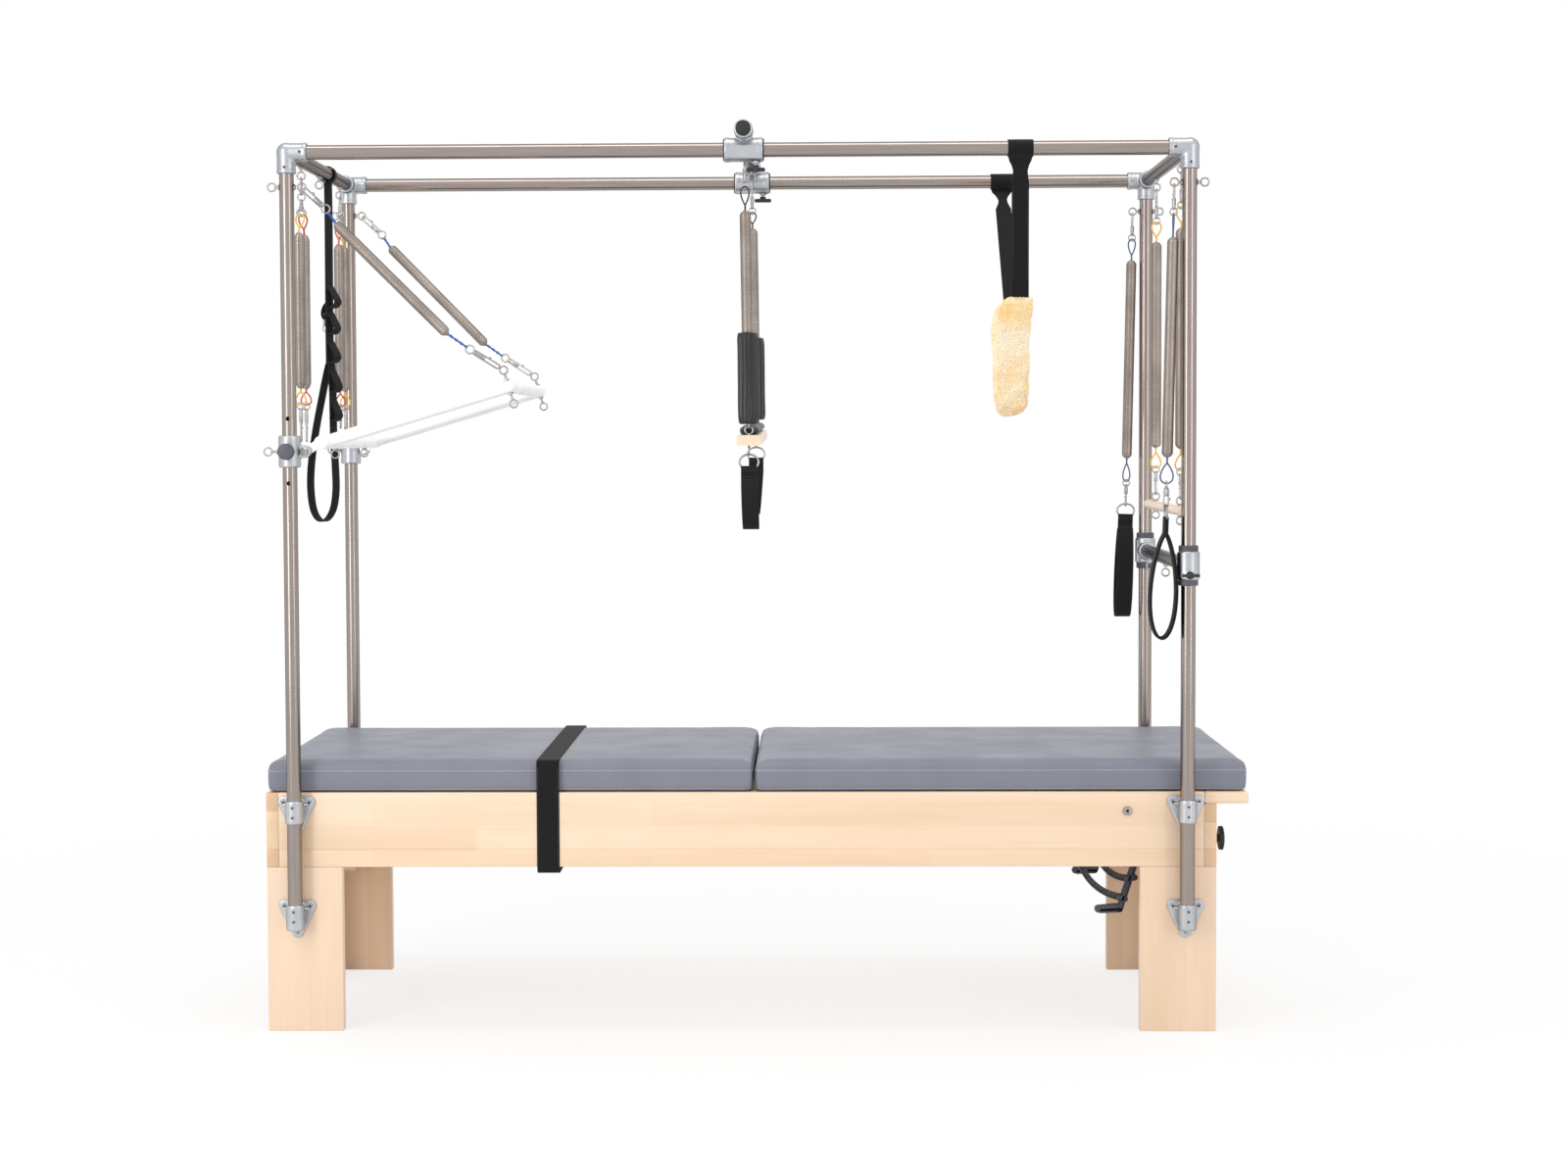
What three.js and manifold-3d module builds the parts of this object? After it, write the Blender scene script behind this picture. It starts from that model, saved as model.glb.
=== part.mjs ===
// Pilates trapeze table: a padded wooden table under a frame of steel tubes, with springs, bars and loops.
// Millimetres, +Z up. X runs from the head end (-X) to the foot end (+X).
// The front is -Y, and the floor is Z = 0.

import * as THREE from "three";
import { mergeVertices } from "three/addons/utils/BufferGeometryUtils.js";
import Module from "manifold-3d";

const wasm = await Module();
wasm.setup();

// Driving dimensions of the whole table
const frameLength = 2104; // outer length of the wooden frame
const frameWidth = 696; // outer width of the wooden frame
const frameTop = 533; // top edge of the side rails
const railDepth = 165.5; // height of the side and end rails
const boardThickness = 27; // rails and legs
const legWidth = 168;
const deckThickness = 26;
const ledgeReach = 70.5; // how far the deck stands out past the foot end rail
const padThickness = 70;
const padSetback = 7; // sides of the pads in from the sides of the frame
const tubeDiameter = 31.75; // posts, top rails, cross tubes and crossbar
const postInset = 68.5; // post axis in from the end of the wooden frame
const postStandoff = 30; // post axis out from the face of the side rail
const topRailHeight = 1942; // axis of the top rails above the floor

// Where the moving things stand at rest
const carriageX = 15.5; // crossbar axis
const slingX = 623;
const pushBarDrop = 652; // pivot of the push-through bar below the top rails
const pushBarSlopeShare = 0.296; // rise of the push-through bar over its run
const rollBackRise = 501; // roll-back bar above the wooden frame
const rollDownDrop = 792; // roll-down bar below the top rails

// Clearances and facets
const gap = 0.3; // between pieces that touch
const running = 0.5; // round what slides or turns
const hang = 0.75; // between a hook's wire and the eye it hangs in
const bury = 1; // how far a fixing starts under the face that it stands on
const merging = 0.06; // surfaces keep to this, and lose the slivers that joining leaves
const tubeSides = 10;
const rodSides = 8;
const wireSides = 3;

// Worked out from them
const tubeR = tubeDiameter / 2;
const halfL = frameLength / 2;
const halfW = frameWidth / 2;
const postX = halfL - postInset;
const postY = halfW + postStandoff;
const railBottom = frameTop - railDepth;
const deckTop = frameTop - gap;
const deckBottom = deckTop - deckThickness;
const ledgeEnd = halfL + ledgeReach;
const padWidth = frameWidth - 2 * padSetback;
const pushBarPivotHeight = topRailHeight - pushBarDrop;
const rollBackHeight = frameTop + rollBackRise;
const rollDownHeight = topRailHeight - rollDownDrop;
const ends = [{ name: "head", side: -1 }, { name: "foot", side: 1 }];
const sides = [{ name: "front", side: -1 }, { name: "rear", side: 1 }];

const table = new THREE.Group();
table.position.x = -(ledgeEnd - halfL) / 2; // the origin is under the middle of the overall length

// Materials
const finish = (color, roughness, metalness = 0) => ({ color, roughness, metalness });
const maple = finish(0xe9cda9, 0.5);
const vinyl = finish(0x8b8c94, 0.55);
const webbing = finish(0x211e24, 0.85);
const stainless = finish(0xb3a79f, 0.3, 1);
const castMetal = finish(0xa9adb3, 0.45, 1);
const polished = finish(0xc9c9cc, 0.2, 1);
const springSteel = finish(0xa79a91, 0.35, 1);
const blackPlastic = finish(0x2a292c, 0.5);
const greyPlastic = finish(0x5d5a66, 0.5);
const fleece = finish(0xf7dcb0, 0.95);

// A piece: a closed solid under its own name, in its own material
function piece(name, solid, look) {
  const mesh = solid.simplify(merging).getMesh();
  const geometry = new THREE.BufferGeometry();
  geometry.setAttribute("position", new THREE.BufferAttribute(mesh.vertProperties, 3));
  geometry.setIndex(new THREE.BufferAttribute(mesh.triVerts, 1));
  const made = new THREE.Mesh(geometry, new THREE.MeshStandardMaterial(look));
  made.name = name;
  table.add(made);
}

// A closed geometry as a solid that can be joined and cut
function solidOf(geometry) {
  geometry.deleteAttribute("normal");
  geometry.deleteAttribute("uv");
  const merged = mergeVertices(geometry);
  return new wasm.Manifold(
    new wasm.Mesh({
      numProp: 3,
      vertProperties: merged.attributes.position.array,
      triVerts: new Uint32Array(merged.index.array),
    }),
  );
}

const at = (x, y, z) => new THREE.Vector3(x, y, z);
const alongX = at(1, 0, 0);
const alongY = at(0, 1, 0);
const alongZ = at(0, 0, 1);
const down = at(0, 0, -1);
const from = (point, direction, distance) => point.clone().addScaledVector(direction, distance);
const squared = (axis, direction) => from(axis, direction, -axis.dot(direction)).normalize();
const joined = (solids) => solids.reduce((all, next) => all.add(next));

// A box between two corners
function box(x0, x1, y0, y1, z0, z1) {
  const geometry = new THREE.BoxGeometry(x1 - x0, y1 - y0, z1 - z0);
  return solidOf(geometry.translate((x0 + x1) / 2, (y0 + y1) / 2, (z0 + z1) / 2));
}

// A round bar, or a cone, between two points
function rod(a, b, radius, faces = rodSides, endRadius = radius) {
  const reach = b.clone().sub(a);
  const geometry = new THREE.CylinderGeometry(endRadius, radius, reach.length(), faces);
  geometry.applyQuaternion(new THREE.Quaternion().setFromUnitVectors(alongY, reach.normalize()));
  return solidOf(geometry.translate(...a.clone().add(b).multiplyScalar(1 / 2).toArray()));
}

// A turned shape: [radius, distance] pairs along a direction from a start point, closed on the axis
function turned(profile, start, direction, faces = rodSides) {
  const points = profile.map(([r, along]) => new THREE.Vector2(r, along));
  const geometry = new THREE.LatheGeometry(points, faces);
  geometry.applyQuaternion(new THREE.Quaternion().setFromUnitVectors(alongY, direction.clone().normalize()));
  return solidOf(geometry.translate(...start.toArray()));
}

// The outline round equal circles, listed counter-clockwise, as a shape
function hullOfCircles(centres, radius, steps) {
  const shape = new THREE.Shape();
  centres.forEach(([x, y], i) => {
    const [px, py] = centres[(i + centres.length - 1) % centres.length];
    const [nx, ny] = centres[(i + 1) % centres.length];
    const start = Math.atan2(y - py, x - px) - Math.PI / 2;
    let sweep = Math.atan2(ny - y, nx - x) - Math.PI / 2 - start;
    while (sweep < 0) sweep += 2 * Math.PI;
    for (let k = 0; k <= steps; k++) {
      const angle = start + (sweep * k) / steps;
      const place = [x + radius * Math.cos(angle), y + radius * Math.sin(angle)];
      if (i === 0 && k === 0) shape.moveTo(...place);
      else shape.lineTo(...place);
    }
  });
  return shape;
}

// A flat plate whose outline lies in the XZ plane, from one Y to another
function plateXZ(shape, x, z, y0, y1) {
  const geometry = new THREE.ExtrudeGeometry(shape, { depth: y1 - y0, bevelEnabled: false });
  return solidOf(geometry.rotateX(Math.PI / 2).translate(x, y1, z));
}

// A closed mesh from rings of points that follow each other, closed on itself or capped at both ends
function skin(rings, closed) {
  const count = rings[0].length;
  const positions = rings.flat().flatMap((p) => [p.x, p.y, p.z]);
  const index = [];
  const quad = (r, s) => {
    for (let k = 0; k < count; k++) {
      const next = (k + 1) % count;
      index.push(r * count + k, s * count + k, s * count + next);
      index.push(r * count + k, s * count + next, r * count + next);
    }
  };
  for (let r = 0; r + 1 < rings.length; r++) quad(r, r + 1);
  if (closed) quad(rings.length - 1, 0);
  else
    for (const [ring, turn] of [[rings[0], 1], [rings.at(-1), -1]]) {
      const middle = ring.reduce((sum, p) => sum.add(p), at(0, 0, 0)).divideScalar(count);
      const hub = positions.length / 3;
      positions.push(middle.x, middle.y, middle.z);
      const first = turn > 0 ? 0 : (rings.length - 1) * count;
      for (let k = 0; k < count; k++) {
        const next = (k + 1) % count;
        if (turn > 0) index.push(hub, first + k, first + next);
        else index.push(hub, first + next, first + k);
      }
    }
  const geometry = new THREE.BufferGeometry();
  geometry.setAttribute("position", new THREE.Float32BufferAttribute(positions, 3));
  geometry.setIndex(index);
  const solid = solidOf(geometry);
  if (solid.volume() > 0) return solid;
  for (let i = 0; i < index.length; i += 3) [index[i], index[i + 1]] = [index[i + 1], index[i]];
  geometry.setIndex(index);
  return solidOf(geometry);
}

// A wire's section, with a corner on the inside of the loop that it bends round
const roundSection = (radius, count = wireSides) =>
  Array.from({ length: count }, (_, k) => [
    -radius * Math.cos((2 * Math.PI * k) / count),
    -radius * Math.sin((2 * Math.PI * k) / count),
  ]);
const flatSection = (thickness, width) => [
  [thickness / 2, width / 2],
  [-thickness / 2, width / 2],
  [-thickness / 2, -width / 2],
  [thickness / 2, -width / 2],
];

// A wire or band that follows a closed path in one plane
function closedPath(points, normal, section) {
  const count = points.length;
  const rings = points.map((p, i) => {
    const tangent = points[(i + 1) % count].clone().sub(points[(i + count - 1) % count]).normalize();
    const outward = normal.clone().cross(tangent);
    return section.map(([a, b]) => from(p, outward, a).addScaledVector(normal, b));
  });
  return skin(rings, true);
}

// A wire ring, or a long link with round ends
function wireLoop({ centre, along, across, halfLength, halfWidth = halfLength, wire, steps = 6 }) {
  const bend = halfLength - halfWidth;
  const isRing = bend < gap;
  const turns = isRing ? [-1, 0, 1, 2].slice(0, steps / 2) : [-2, -1, 0, 1, 2];
  const points = [0, 1].flatMap((end) =>
    turns.map((k) => {
      const angle = Math.PI * (end + k / (isRing ? steps / 2 : 4));
      const reach = (end ? bend : -bend) - halfWidth * Math.cos(angle);
      return from(centre, along, reach).addScaledVector(across, halfWidth * Math.sin(angle));
    }),
  );
  return closedPath(points, along.clone().cross(across).normalize(), roundSection(wire));
}

// A loop that hangs from a narrow top, in the plane of two directions
function dropLoop({ top, along, across, length, halfWidth, section, steps, taper }) {
  const points = Array.from({ length: steps }, (_, k) => {
    const angle = (2 * Math.PI * k) / steps;
    const narrowing = Math.abs(Math.sin(angle / 2)) ** taper;
    return from(top, along, (length / 2) * (1 - Math.cos(angle)))
      .addScaledVector(across, halfWidth * Math.sin(angle) * narrowing);
  });
  return closedPath(points, along.clone().cross(across).normalize(), section);
}

// A band or bar that follows points. Its width lies along one direction, and each point gives its size there.
function ribbon(stations, widthways, corners) {
  const flat = 1 / Math.cos(Math.PI / corners);
  const rings = stations.map(({ point, width, thick, across = widthways }, i) => {
    const before = stations[Math.max(i - 1, 0)].point;
    const after = stations[Math.min(i + 1, stations.length - 1)].point;
    const tangent = after.clone().sub(before).normalize();
    const sideways = squared(across, tangent);
    const normal = sideways.clone().cross(tangent);
    return Array.from({ length: corners }, (_, k) => {
      const angle = (2 * Math.PI * (k + 1 / 2)) / corners;
      return from(point, sideways, (width / 2) * flat * Math.cos(angle))
        .addScaledVector(normal, (thick / 2) * flat * Math.sin(angle));
    });
  });
  return skin(rings, false);
}

// Eye bolts and the wire hooks that hang in them
const eye = { radius: 8.75, wire: 1.9, shank: 3.2, fromTube: 17.125, underTube: 18.625 };
const postEyeReach = tubeR + eye.fromTube; // an eye's middle from the axis of its post
const tubeEyeReach = tubeR + eye.underTube; // and from the axis of its cross tube
const link = { wire: 1.9, halfWidth: 6.2, loopHalf: 10 };
const springRing = { radius: 9.2, wire: 1.8 };

// An eye bolt: its shank starts at `base`, and its ring's middle is `reach` away along `direction`
function eyeBolt(base, direction, reach, faceAxis = alongY, steps = 6) {
  const centre = from(base, direction, reach);
  const across = faceAxis.clone().cross(direction);
  const ring = wireLoop({ centre, along: direction, across, halfLength: eye.radius, wire: eye.wire, steps });
  return ring.add(rod(base, from(centre, direction, -eye.radius), eye.shank, 5));
}

// A long hook between two distances along a direction, lying in the plane of `across`
function hookLink(start, direction, across, length) {
  return wireLoop({
    centre: from(start, direction, length / 2), along: direction, across,
    halfLength: length / 2, halfWidth: link.halfWidth, wire: link.wire,
  });
}

// Where the top wire of a hook runs inside an eye that it hangs in
const hookSeat = (eyeCentre, direction) =>
  from(eyeCentre, direction, eye.radius - eye.wire - link.wire - hang);

// Wooden frame

const bolt = { fromEnd: 196.5, drop: 42, head: 10, height: 6 };
for (const { name, side } of sides) {
  const [y0, y1] = side < 0 ? [-halfW, boardThickness - halfW] : [halfW - boardThickness, halfW];
  const inner = halfL - boardThickness - gap;
  let rail = box(-inner, inner, y0, y1, railBottom, frameTop);
  const face = at(halfL - bolt.fromEnd, side * (halfW - gap), frameTop - bolt.drop);
  rail = rail.add(rod(face, from(face, alongY, side * bolt.height), bolt.head, 10));
  piece(`side_rail_${name}`, rail, maple);
}
for (const { name, side } of ends) {
  const [x0, x1] = side < 0 ? [-halfL, boardThickness - halfL] : [halfL - boardThickness, halfL];
  const top = side < 0 ? frameTop : deckBottom - gap;
  piece(`end_rail_${name}`, box(x0, x1, -halfW, halfW, railBottom, top), maple);
}

// The deck under the pads runs out over the foot end rail as a ledge
const deckHalfW = halfW - boardThickness - gap;
const deckEdge = halfL - boardThickness;
piece(
  "deck",
  box(gap - deckEdge, deckEdge, -deckHalfW, deckHalfW, deckBottom, deckTop).add(
    box(deckEdge, ledgeEnd, -halfW, halfW, deckBottom, deckTop),
  ),
  maple,
);

// Each leg is an L of two boards. The block in its corner stands up inside the rails and carries the deck.
const legBlock = { width: 62, drop: 110 };
for (const { name: end, side: sx } of ends) {
  for (const { name, side: sy } of sides) {
    const outline = new THREE.Shape();
    outline.moveTo(0, 0);
    outline.lineTo(legWidth, 0);
    outline.lineTo(legWidth, boardThickness);
    outline.lineTo(boardThickness, boardThickness);
    outline.lineTo(boardThickness, legWidth);
    outline.lineTo(0, legWidth);
    outline.closePath();
    const geometry = new THREE.ExtrudeGeometry(outline, { depth: railBottom - gap, bevelEnabled: false });
    const inner = boardThickness + gap;
    const outer = inner + legBlock.width;
    const low = railBottom - legBlock.drop;
    const corner = box(inner, outer, inner, outer, low, deckBottom - gap);
    const tie = box(boardThickness / 2, outer, boardThickness / 2, outer, low, railBottom - gap);
    const quarter = { "-1,-1": 0, "1,-1": 1, "1,1": 2, "-1,1": 3 }[[sx, sy].join()];
    const leg = joined([solidOf(geometry), corner, tie])
      .rotate([0, 0, 90 * quarter])
      .translate([sx * halfL, sy * halfW, 0]);
    piece(`leg_${name}_${end}`, leg, maple);
  }
}

// Pads: crowned cushions with drawn-in sides and rounded corners
const pad = { cornerRadius: 16, cornerSteps: 4, footInset: 2.3, splitX: 30.8, splitGap: 1.2 };
// Each ring of a pad: how far it is drawn in, and its height as a share of the pad's thickness
const padRings = [
  { inset: 9, heightShare: 0 },
  { inset: 2.5, heightShare: 0.08 },
  { inset: 0, heightShare: 0.45 },
  { inset: 1, heightShare: 0.8 },
  { inset: 9, heightShare: 0.93 },
  { inset: 40, heightShare: 0.96 },
  { inset: 130, heightShare: 1 },
];
function roundedOutline(x0, x1, halfY, radius, inset, z) {
  const points = [];
  const r = Math.max(radius - inset / 2, radius / 3);
  const corners = [[x1, halfY, 0], [x0, halfY, 1], [x0, -halfY, 2], [x1, -halfY, 3]];
  for (const [cx, cy, quarter] of corners) {
    const mx = cx + (cx === x1 ? -1 : 1) * (inset + r);
    const my = cy - Math.sign(cy) * (inset + r);
    for (let k = 0; k <= pad.cornerSteps; k++) {
      const angle = (Math.PI / 2) * (quarter + k / pad.cornerSteps);
      points.push(at(mx + r * Math.cos(angle), my + r * Math.sin(angle), z));
    }
  }
  return points;
}
function cushion(x0, x1) {
  const bottom = frameTop + gap;
  return skin(
    padRings.map(({ inset, heightShare }) =>
      roundedOutline(x0, x1, padWidth / 2, pad.cornerRadius, inset, bottom + padThickness * heightShare),
    ),
    false,
  );
}
const padHeadX = -halfL;
const padFootX = ledgeEnd - pad.footInset;
piece("pad_head", cushion(padHeadX, pad.splitX - pad.splitGap / 2), vinyl);
piece("pad_foot", cushion(pad.splitX + pad.splitGap / 2, padFootX), vinyl);

// A webbing strap round the head pad, the side rails and the frame's underside
const matStrap = { fromSplit: 455.8, width: 50, thickness: 2.4, cornerRadius: 3, slack: 1.2 };
{
  const y = halfW + matStrap.slack;
  const low = railBottom - matStrap.slack;
  const high = frameTop + gap + padThickness + matStrap.slack;
  const ring = (grow) => {
    const radius = matStrap.cornerRadius + grow;
    const centres = [[-y + matStrap.cornerRadius, low + matStrap.cornerRadius],
      [y - matStrap.cornerRadius, low + matStrap.cornerRadius],
      [y - matStrap.cornerRadius, high - matStrap.cornerRadius],
      [-y + matStrap.cornerRadius, high - matStrap.cornerRadius]];
    return hullOfCircles(centres, radius, 2);
  };
  const band = (shape, extra) => {
    const width = matStrap.width + 2 * extra;
    const geometry = new THREE.ExtrudeGeometry(shape, { depth: width, bevelEnabled: false });
    geometry.translate(0, 0, -width / 2).rotateX(Math.PI / 2).rotateZ(Math.PI / 2);
    return solidOf(geometry.translate(pad.splitX - matStrap.fromSplit, 0, 0));
  };
  piece("mat_strap", band(ring(matStrap.thickness), 0).subtract(band(ring(0), matStrap.width)), webbing);
}

// Posts, flanges and the tube frame above

const flange = {
  earRadius: 13, earSpread: 29, earDrop: 6.8, lowEarDrop: 66, plate: 6,
  hubWall: 4.125, hubHeight: 52, lowHubHeight: 57, web: 24, screwHead: 5, screwHeight: 3.2,
  topDrop: 13, lowTopDrop: 244,
};
const upperFlangeTop = frameTop - flange.topDrop;
const lowerFlangeTop = frameTop - flange.lowTopDrop;

function flangeBody(x, side, top, hubHeight) {
  const face = halfW + gap;
  const outer = face + flange.plate;
  const shape = hullOfCircles(
    [[-flange.earSpread, -flange.earDrop], [0, -flange.lowEarDrop], [flange.earSpread, -flange.earDrop]],
    flange.earRadius, 4,
  );
  const [y0, y1] = side < 0 ? [-outer, -face] : [face, outer];
  const hub = rod(at(x, side * postY, top - hubHeight), at(x, side * postY, top),
    tubeR + flange.hubWall, tubeSides);
  const [w0, w1] = side < 0 ? [-postY, -face - gap] : [face + gap, postY];
  const web = box(x - flange.web / 2, x + flange.web / 2, w0, w1, top - hubHeight, top - gap);
  const screwPlaces = [[-1, flange.earDrop], [1, flange.earDrop], [0, flange.lowEarDrop]];
  const screws = screwPlaces.map(([across, drop]) => {
    const seat = at(x + across * flange.earSpread, side * (outer - gap), top - drop);
    return rod(seat, from(seat, alongY, side * (flange.screwHeight + gap)), flange.screwHead, 6);
  });
  return joined([plateXZ(shape, x, top, y0, y1), hub, web, ...screws]);
}

// Corner fittings: the wall round each tube, and how far a socket and a tube's end are from the crossing tube
const fitting = { wall: 4.525, sleeve: 30.625, stop: 6.125, bossWall: 5.125 };
const fittingReach = tubeR + fitting.sleeve;
const tubeStop = tubeR + fitting.stop;
const postEyeDrop = 75;
const postEyeHeight = topRailHeight - postEyeDrop;
const pinHoles = { radius: 5, depth: 9, below: 69.5, above: 72 };
const pinHeights = [-pinHoles.below, 0, pinHoles.above].map((step) => pushBarPivotHeight + step);

for (const { name: end, side: sx } of ends) {
  for (const { name, side: sy } of sides) {
    const x = sx * postX;
    const y = sy * postY;
    const foot = at(x, y, lowerFlangeTop - flange.lowHubHeight / 2);
    const top = at(x, y, topRailHeight - tubeStop);
    let post = rod(foot, top, tubeR, tubeSides);
    for (const direction of [alongX, alongX.clone().negate()])
      post = post.add(eyeBolt(at(x, y, postEyeHeight), direction, postEyeReach, alongY, 8));
    if (sx < 0)
      for (const z of pinHeights) {
        const face = at(x, y + sy * (tubeR + running), z);
        post = post.subtract(rod(face, from(face, alongY, -sy * pinHoles.depth), pinHoles.radius, 8));
      }
    post = post.add(flangeBody(x, sy, lowerFlangeTop, flange.lowHubHeight));
    piece(`post_${name}_${end}`, post, stainless);

    const bore = rod(at(x, y, 0), at(x, y, topRailHeight), tubeR + running, tubeSides);
    const upperFlange = flangeBody(x, sy, upperFlangeTop, flange.hubHeight);
    piece(`flange_${name}_${end}`, upperFlange.subtract(bore), castMetal);

    const corner = at(x, y, topRailHeight);
    const arms = [alongX.clone().multiplyScalar(-sx), alongY.clone().multiplyScalar(-sy), down];
    const socketRadius = tubeR + fitting.wall;
    const sockets = arms.map((d) => rod(corner, from(corner, d, fittingReach), socketRadius, tubeSides));
    const boss = solidOf(new THREE.SphereGeometry(tubeR + fitting.bossWall, 8, 6)
      .rotateX(Math.PI / 2).translate(...corner.toArray()));
    const bores = arms.map((d) => {
      const start = from(corner, d, tubeStop - running);
      return rod(start, from(corner, d, 2 * fittingReach), tubeR + running, tubeSides);
    });
    const fittingBody = bores.reduce((s, b) => s.subtract(b), joined([...sockets, boss]));
    piece(`corner_${name}_${end}`, fittingBody, castMetal);
  }
}
for (const { name, side } of sides) {
  const reach = postX - tubeStop;
  const middle = at(0, side * postY, topRailHeight);
  const rail = rod(from(middle, alongX, -reach), from(middle, alongX, reach), tubeR, tubeSides);
  piece(`top_rail_${name}`, rail, stainless);
}

// Eyes under the end cross tubes: places along Y, as distances in from the posts' axes
const eyeInsets = { storedFront: 164, storedRear: 116, rollDownFront: 128, rollDownRear: 200 };
const storedEyes = { front: eyeInsets.storedFront - postY, middle: 0, rear: postY - eyeInsets.storedRear };
const rollDownEyes = { front: eyeInsets.rollDownFront - postY, rear: postY - eyeInsets.rollDownRear };
for (const { name, side } of ends) {
  const x = side * postX;
  const reach = postY - tubeStop;
  let tube = rod(at(x, -reach, topRailHeight), at(x, reach, topRailHeight), tubeR, tubeSides);
  const places = side < 0 ? Object.values(storedEyes) : Object.values(rollDownEyes);
  for (const y of places)
    tube = tube.add(eyeBolt(at(x, y, topRailHeight), down, tubeEyeReach, alongY));
  piece(`cross_tube_${name}`, tube, stainless);
}

// Springs

// A plain close-wound spring between two distances along its axis, with drawn-in ends and a wire at each
function closeSpring(start, direction, length, radius, wireLead) {
  const drawn = radius;
  return turned([
    [0, 0], [eye.wire, wireLead], [radius, wireLead + drawn], [radius, length - wireLead - drawn],
    [eye.wire, length - wireLead], [0, length],
  ], start, direction);
}

// A wound spring: one unbroken tube whose curls tighten to the axis at both ends and run straight there
function woundSpring(name, start, direction, length, radius, wire, turns) {
  const stepsPerTurn = 7;
  const facets = 4;
  const side = alongY.clone().cross(direction).normalize();
  const up = direction.clone().cross(side);
  const straight = 2 * wire;
  const total = turns * stepsPerTurn;
  const drawnTurns = 2;
  const axisShare = 0.12;
  const closingShare = 0.6;
  const mean = radius - wire;
  const centre = (k) => {
    const turn = k / stepsPerTurn;
    const fromEnd = Math.min(turn, turns - turn) / drawnTurns;
    const reach = mean * (axisShare + (1 - axisShare) * Math.min(1, fromEnd) ** closingShare);
    const along = straight + ((length - 2 * straight) * k) / total;
    const angle = 2 * Math.PI * turn;
    return from(start, direction, along)
      .addScaledVector(side, reach * Math.cos(angle)).addScaledVector(up, reach * Math.sin(angle));
  };
  const curls = Array.from({ length: total + 1 }, (_, k) => centre(k));
  const path = [start, ...curls, from(start, direction, length)];
  let least = Infinity;
  path.forEach((p, i) => {
    for (let j = i + Math.ceil(stepsPerTurn / 2); j < path.length && j < i + 2 * stepsPerTurn; j++)
      least = Math.min(least, p.distanceTo(path[j]) - 2 * wire);
  });
  console.log(`${name}: least gap to itself ${least.toFixed(2)} mm`);
  const rings = path.map((p, i) => {
    const tangent = path[Math.min(i + 1, path.length - 1)].clone().sub(path[Math.max(i - 1, 0)]).normalize();
    if (i === 0 || i === path.length - 1) tangent.copy(direction);
    const turn = Math.min(Math.max(i - 1, 0), total) / stepsPerTurn;
    const spoke = side.clone().multiplyScalar(Math.cos(2 * Math.PI * turn))
      .addScaledVector(up, Math.sin(2 * Math.PI * turn));
    const outward = spoke.addScaledVector(tangent, -spoke.dot(tangent)).normalize();
    const third = tangent.clone().cross(outward);
    return roundSection(wire, facets).map(([a, b]) => from(p, outward, a).addScaledVector(third, b));
  });
  return skin(rings, false);
}

// Push-through bar: collars on the head posts, a tube rectangle that swings on them, and its two springs

const collar = { wall: 8.325, height: 70, eyeOut: 23.8, lug: 14, lugHeight: 28, lugWidth: 14 };
const collarRadius = tubeR + collar.wall;
const pivot = { fromCollar: 9.3, pin: 5, head: 8, headHeight: 6, ear: 8, earRadius: 9.5 };
const pushBar = {
  radius: 14.6, armInset: 60, rootRun: 32, rootRise: 19.5, armRun: 410, eyeOut: 23.9,
  rootEyeShare: 0.6, rootEyeOut: 12.4,
};
const pushBarY = postY - pushBar.armInset;
const pushEyeReach = pushBar.radius + pushBar.eyeOut;
const plunger = { knobRadius: 18, knobDepth: 22, faceOut: 28.8, pin: 3.6, neck: 8 };
const plungerFace = collarRadius + plunger.faceOut;
const pivotReach = collarRadius + pivot.fromCollar; // pivot from the axis of the post
const pivotX = pivotReach - postX;
const pushRoot = at(pivotX + pushBar.rootRun, 0, pushBarPivotHeight + pushBar.rootRise);
const pushEnd = at(pushRoot.x + pushBar.armRun, 0, pushRoot.z + pushBar.armRun * pushBarSlopeShare);
const pushAlong = pushEnd.clone().sub(pushRoot).normalize();
const pushNormal = alongY.clone().cross(pushAlong).negate();
const withY = (p, y) => at(p.x, y, p.z);
const lugOuter = postY + collar.lug / 2;
const lugInner = postY - collar.lug / 2;

for (const { name, side } of sides) {
  const x = -postX;
  const y = side * postY;
  const low = pushBarPivotHeight - collar.height / 2;
  const axis = at(x, y, pushBarPivotHeight);
  let body = rod(at(x, y, low), at(x, y, low + collar.height), collarRadius, tubeSides);
  const lugZ = collar.lugHeight / 2;
  const lugPlate = plateXZ(
    hullOfCircles([[0, 0], [pivotReach, 0]], lugZ, 5), x, pushBarPivotHeight,
    y - collar.lugWidth / 2, y + collar.lugWidth / 2,
  );
  body = body.add(lugPlate).add(eyeBolt(axis, alongX.clone().negate(), collarRadius + collar.eyeOut));
  const postBore = rod(at(x, y, low - gap), at(x, y, low + collar.height + gap), tubeR + running, tubeSides);
  body = body.subtract(postBore);
  const boreReach = collar.lug;
  body = body.subtract(
    rod(at(pivotX, y - boreReach, pushBarPivotHeight), at(pivotX, y + boreReach, pushBarPivotHeight),
      pivot.pin + running, 12),
  );
  const outward = alongY.clone().multiplyScalar(side);
  body = body.subtract(rod(axis, from(axis, outward, 2 * collarRadius), plunger.pin + running, 8));
  piece(`push_bar_collar_${name}`, body, castMetal);

  const knobBack = plungerFace - plunger.knobDepth;
  const tip = tubeR - pinHoles.depth / 2;
  const knob = turned([
    [0, tip], [plunger.pin, tip], [plunger.pin, collarRadius + gap], [plunger.neck, collarRadius + gap],
    [plunger.neck, knobBack], [plunger.knobRadius, knobBack], [plunger.knobRadius, plungerFace],
    [0, plungerFace],
  ], axis, outward);
  piece(`plunger_${name}`, knob, greyPlastic);
}

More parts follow.
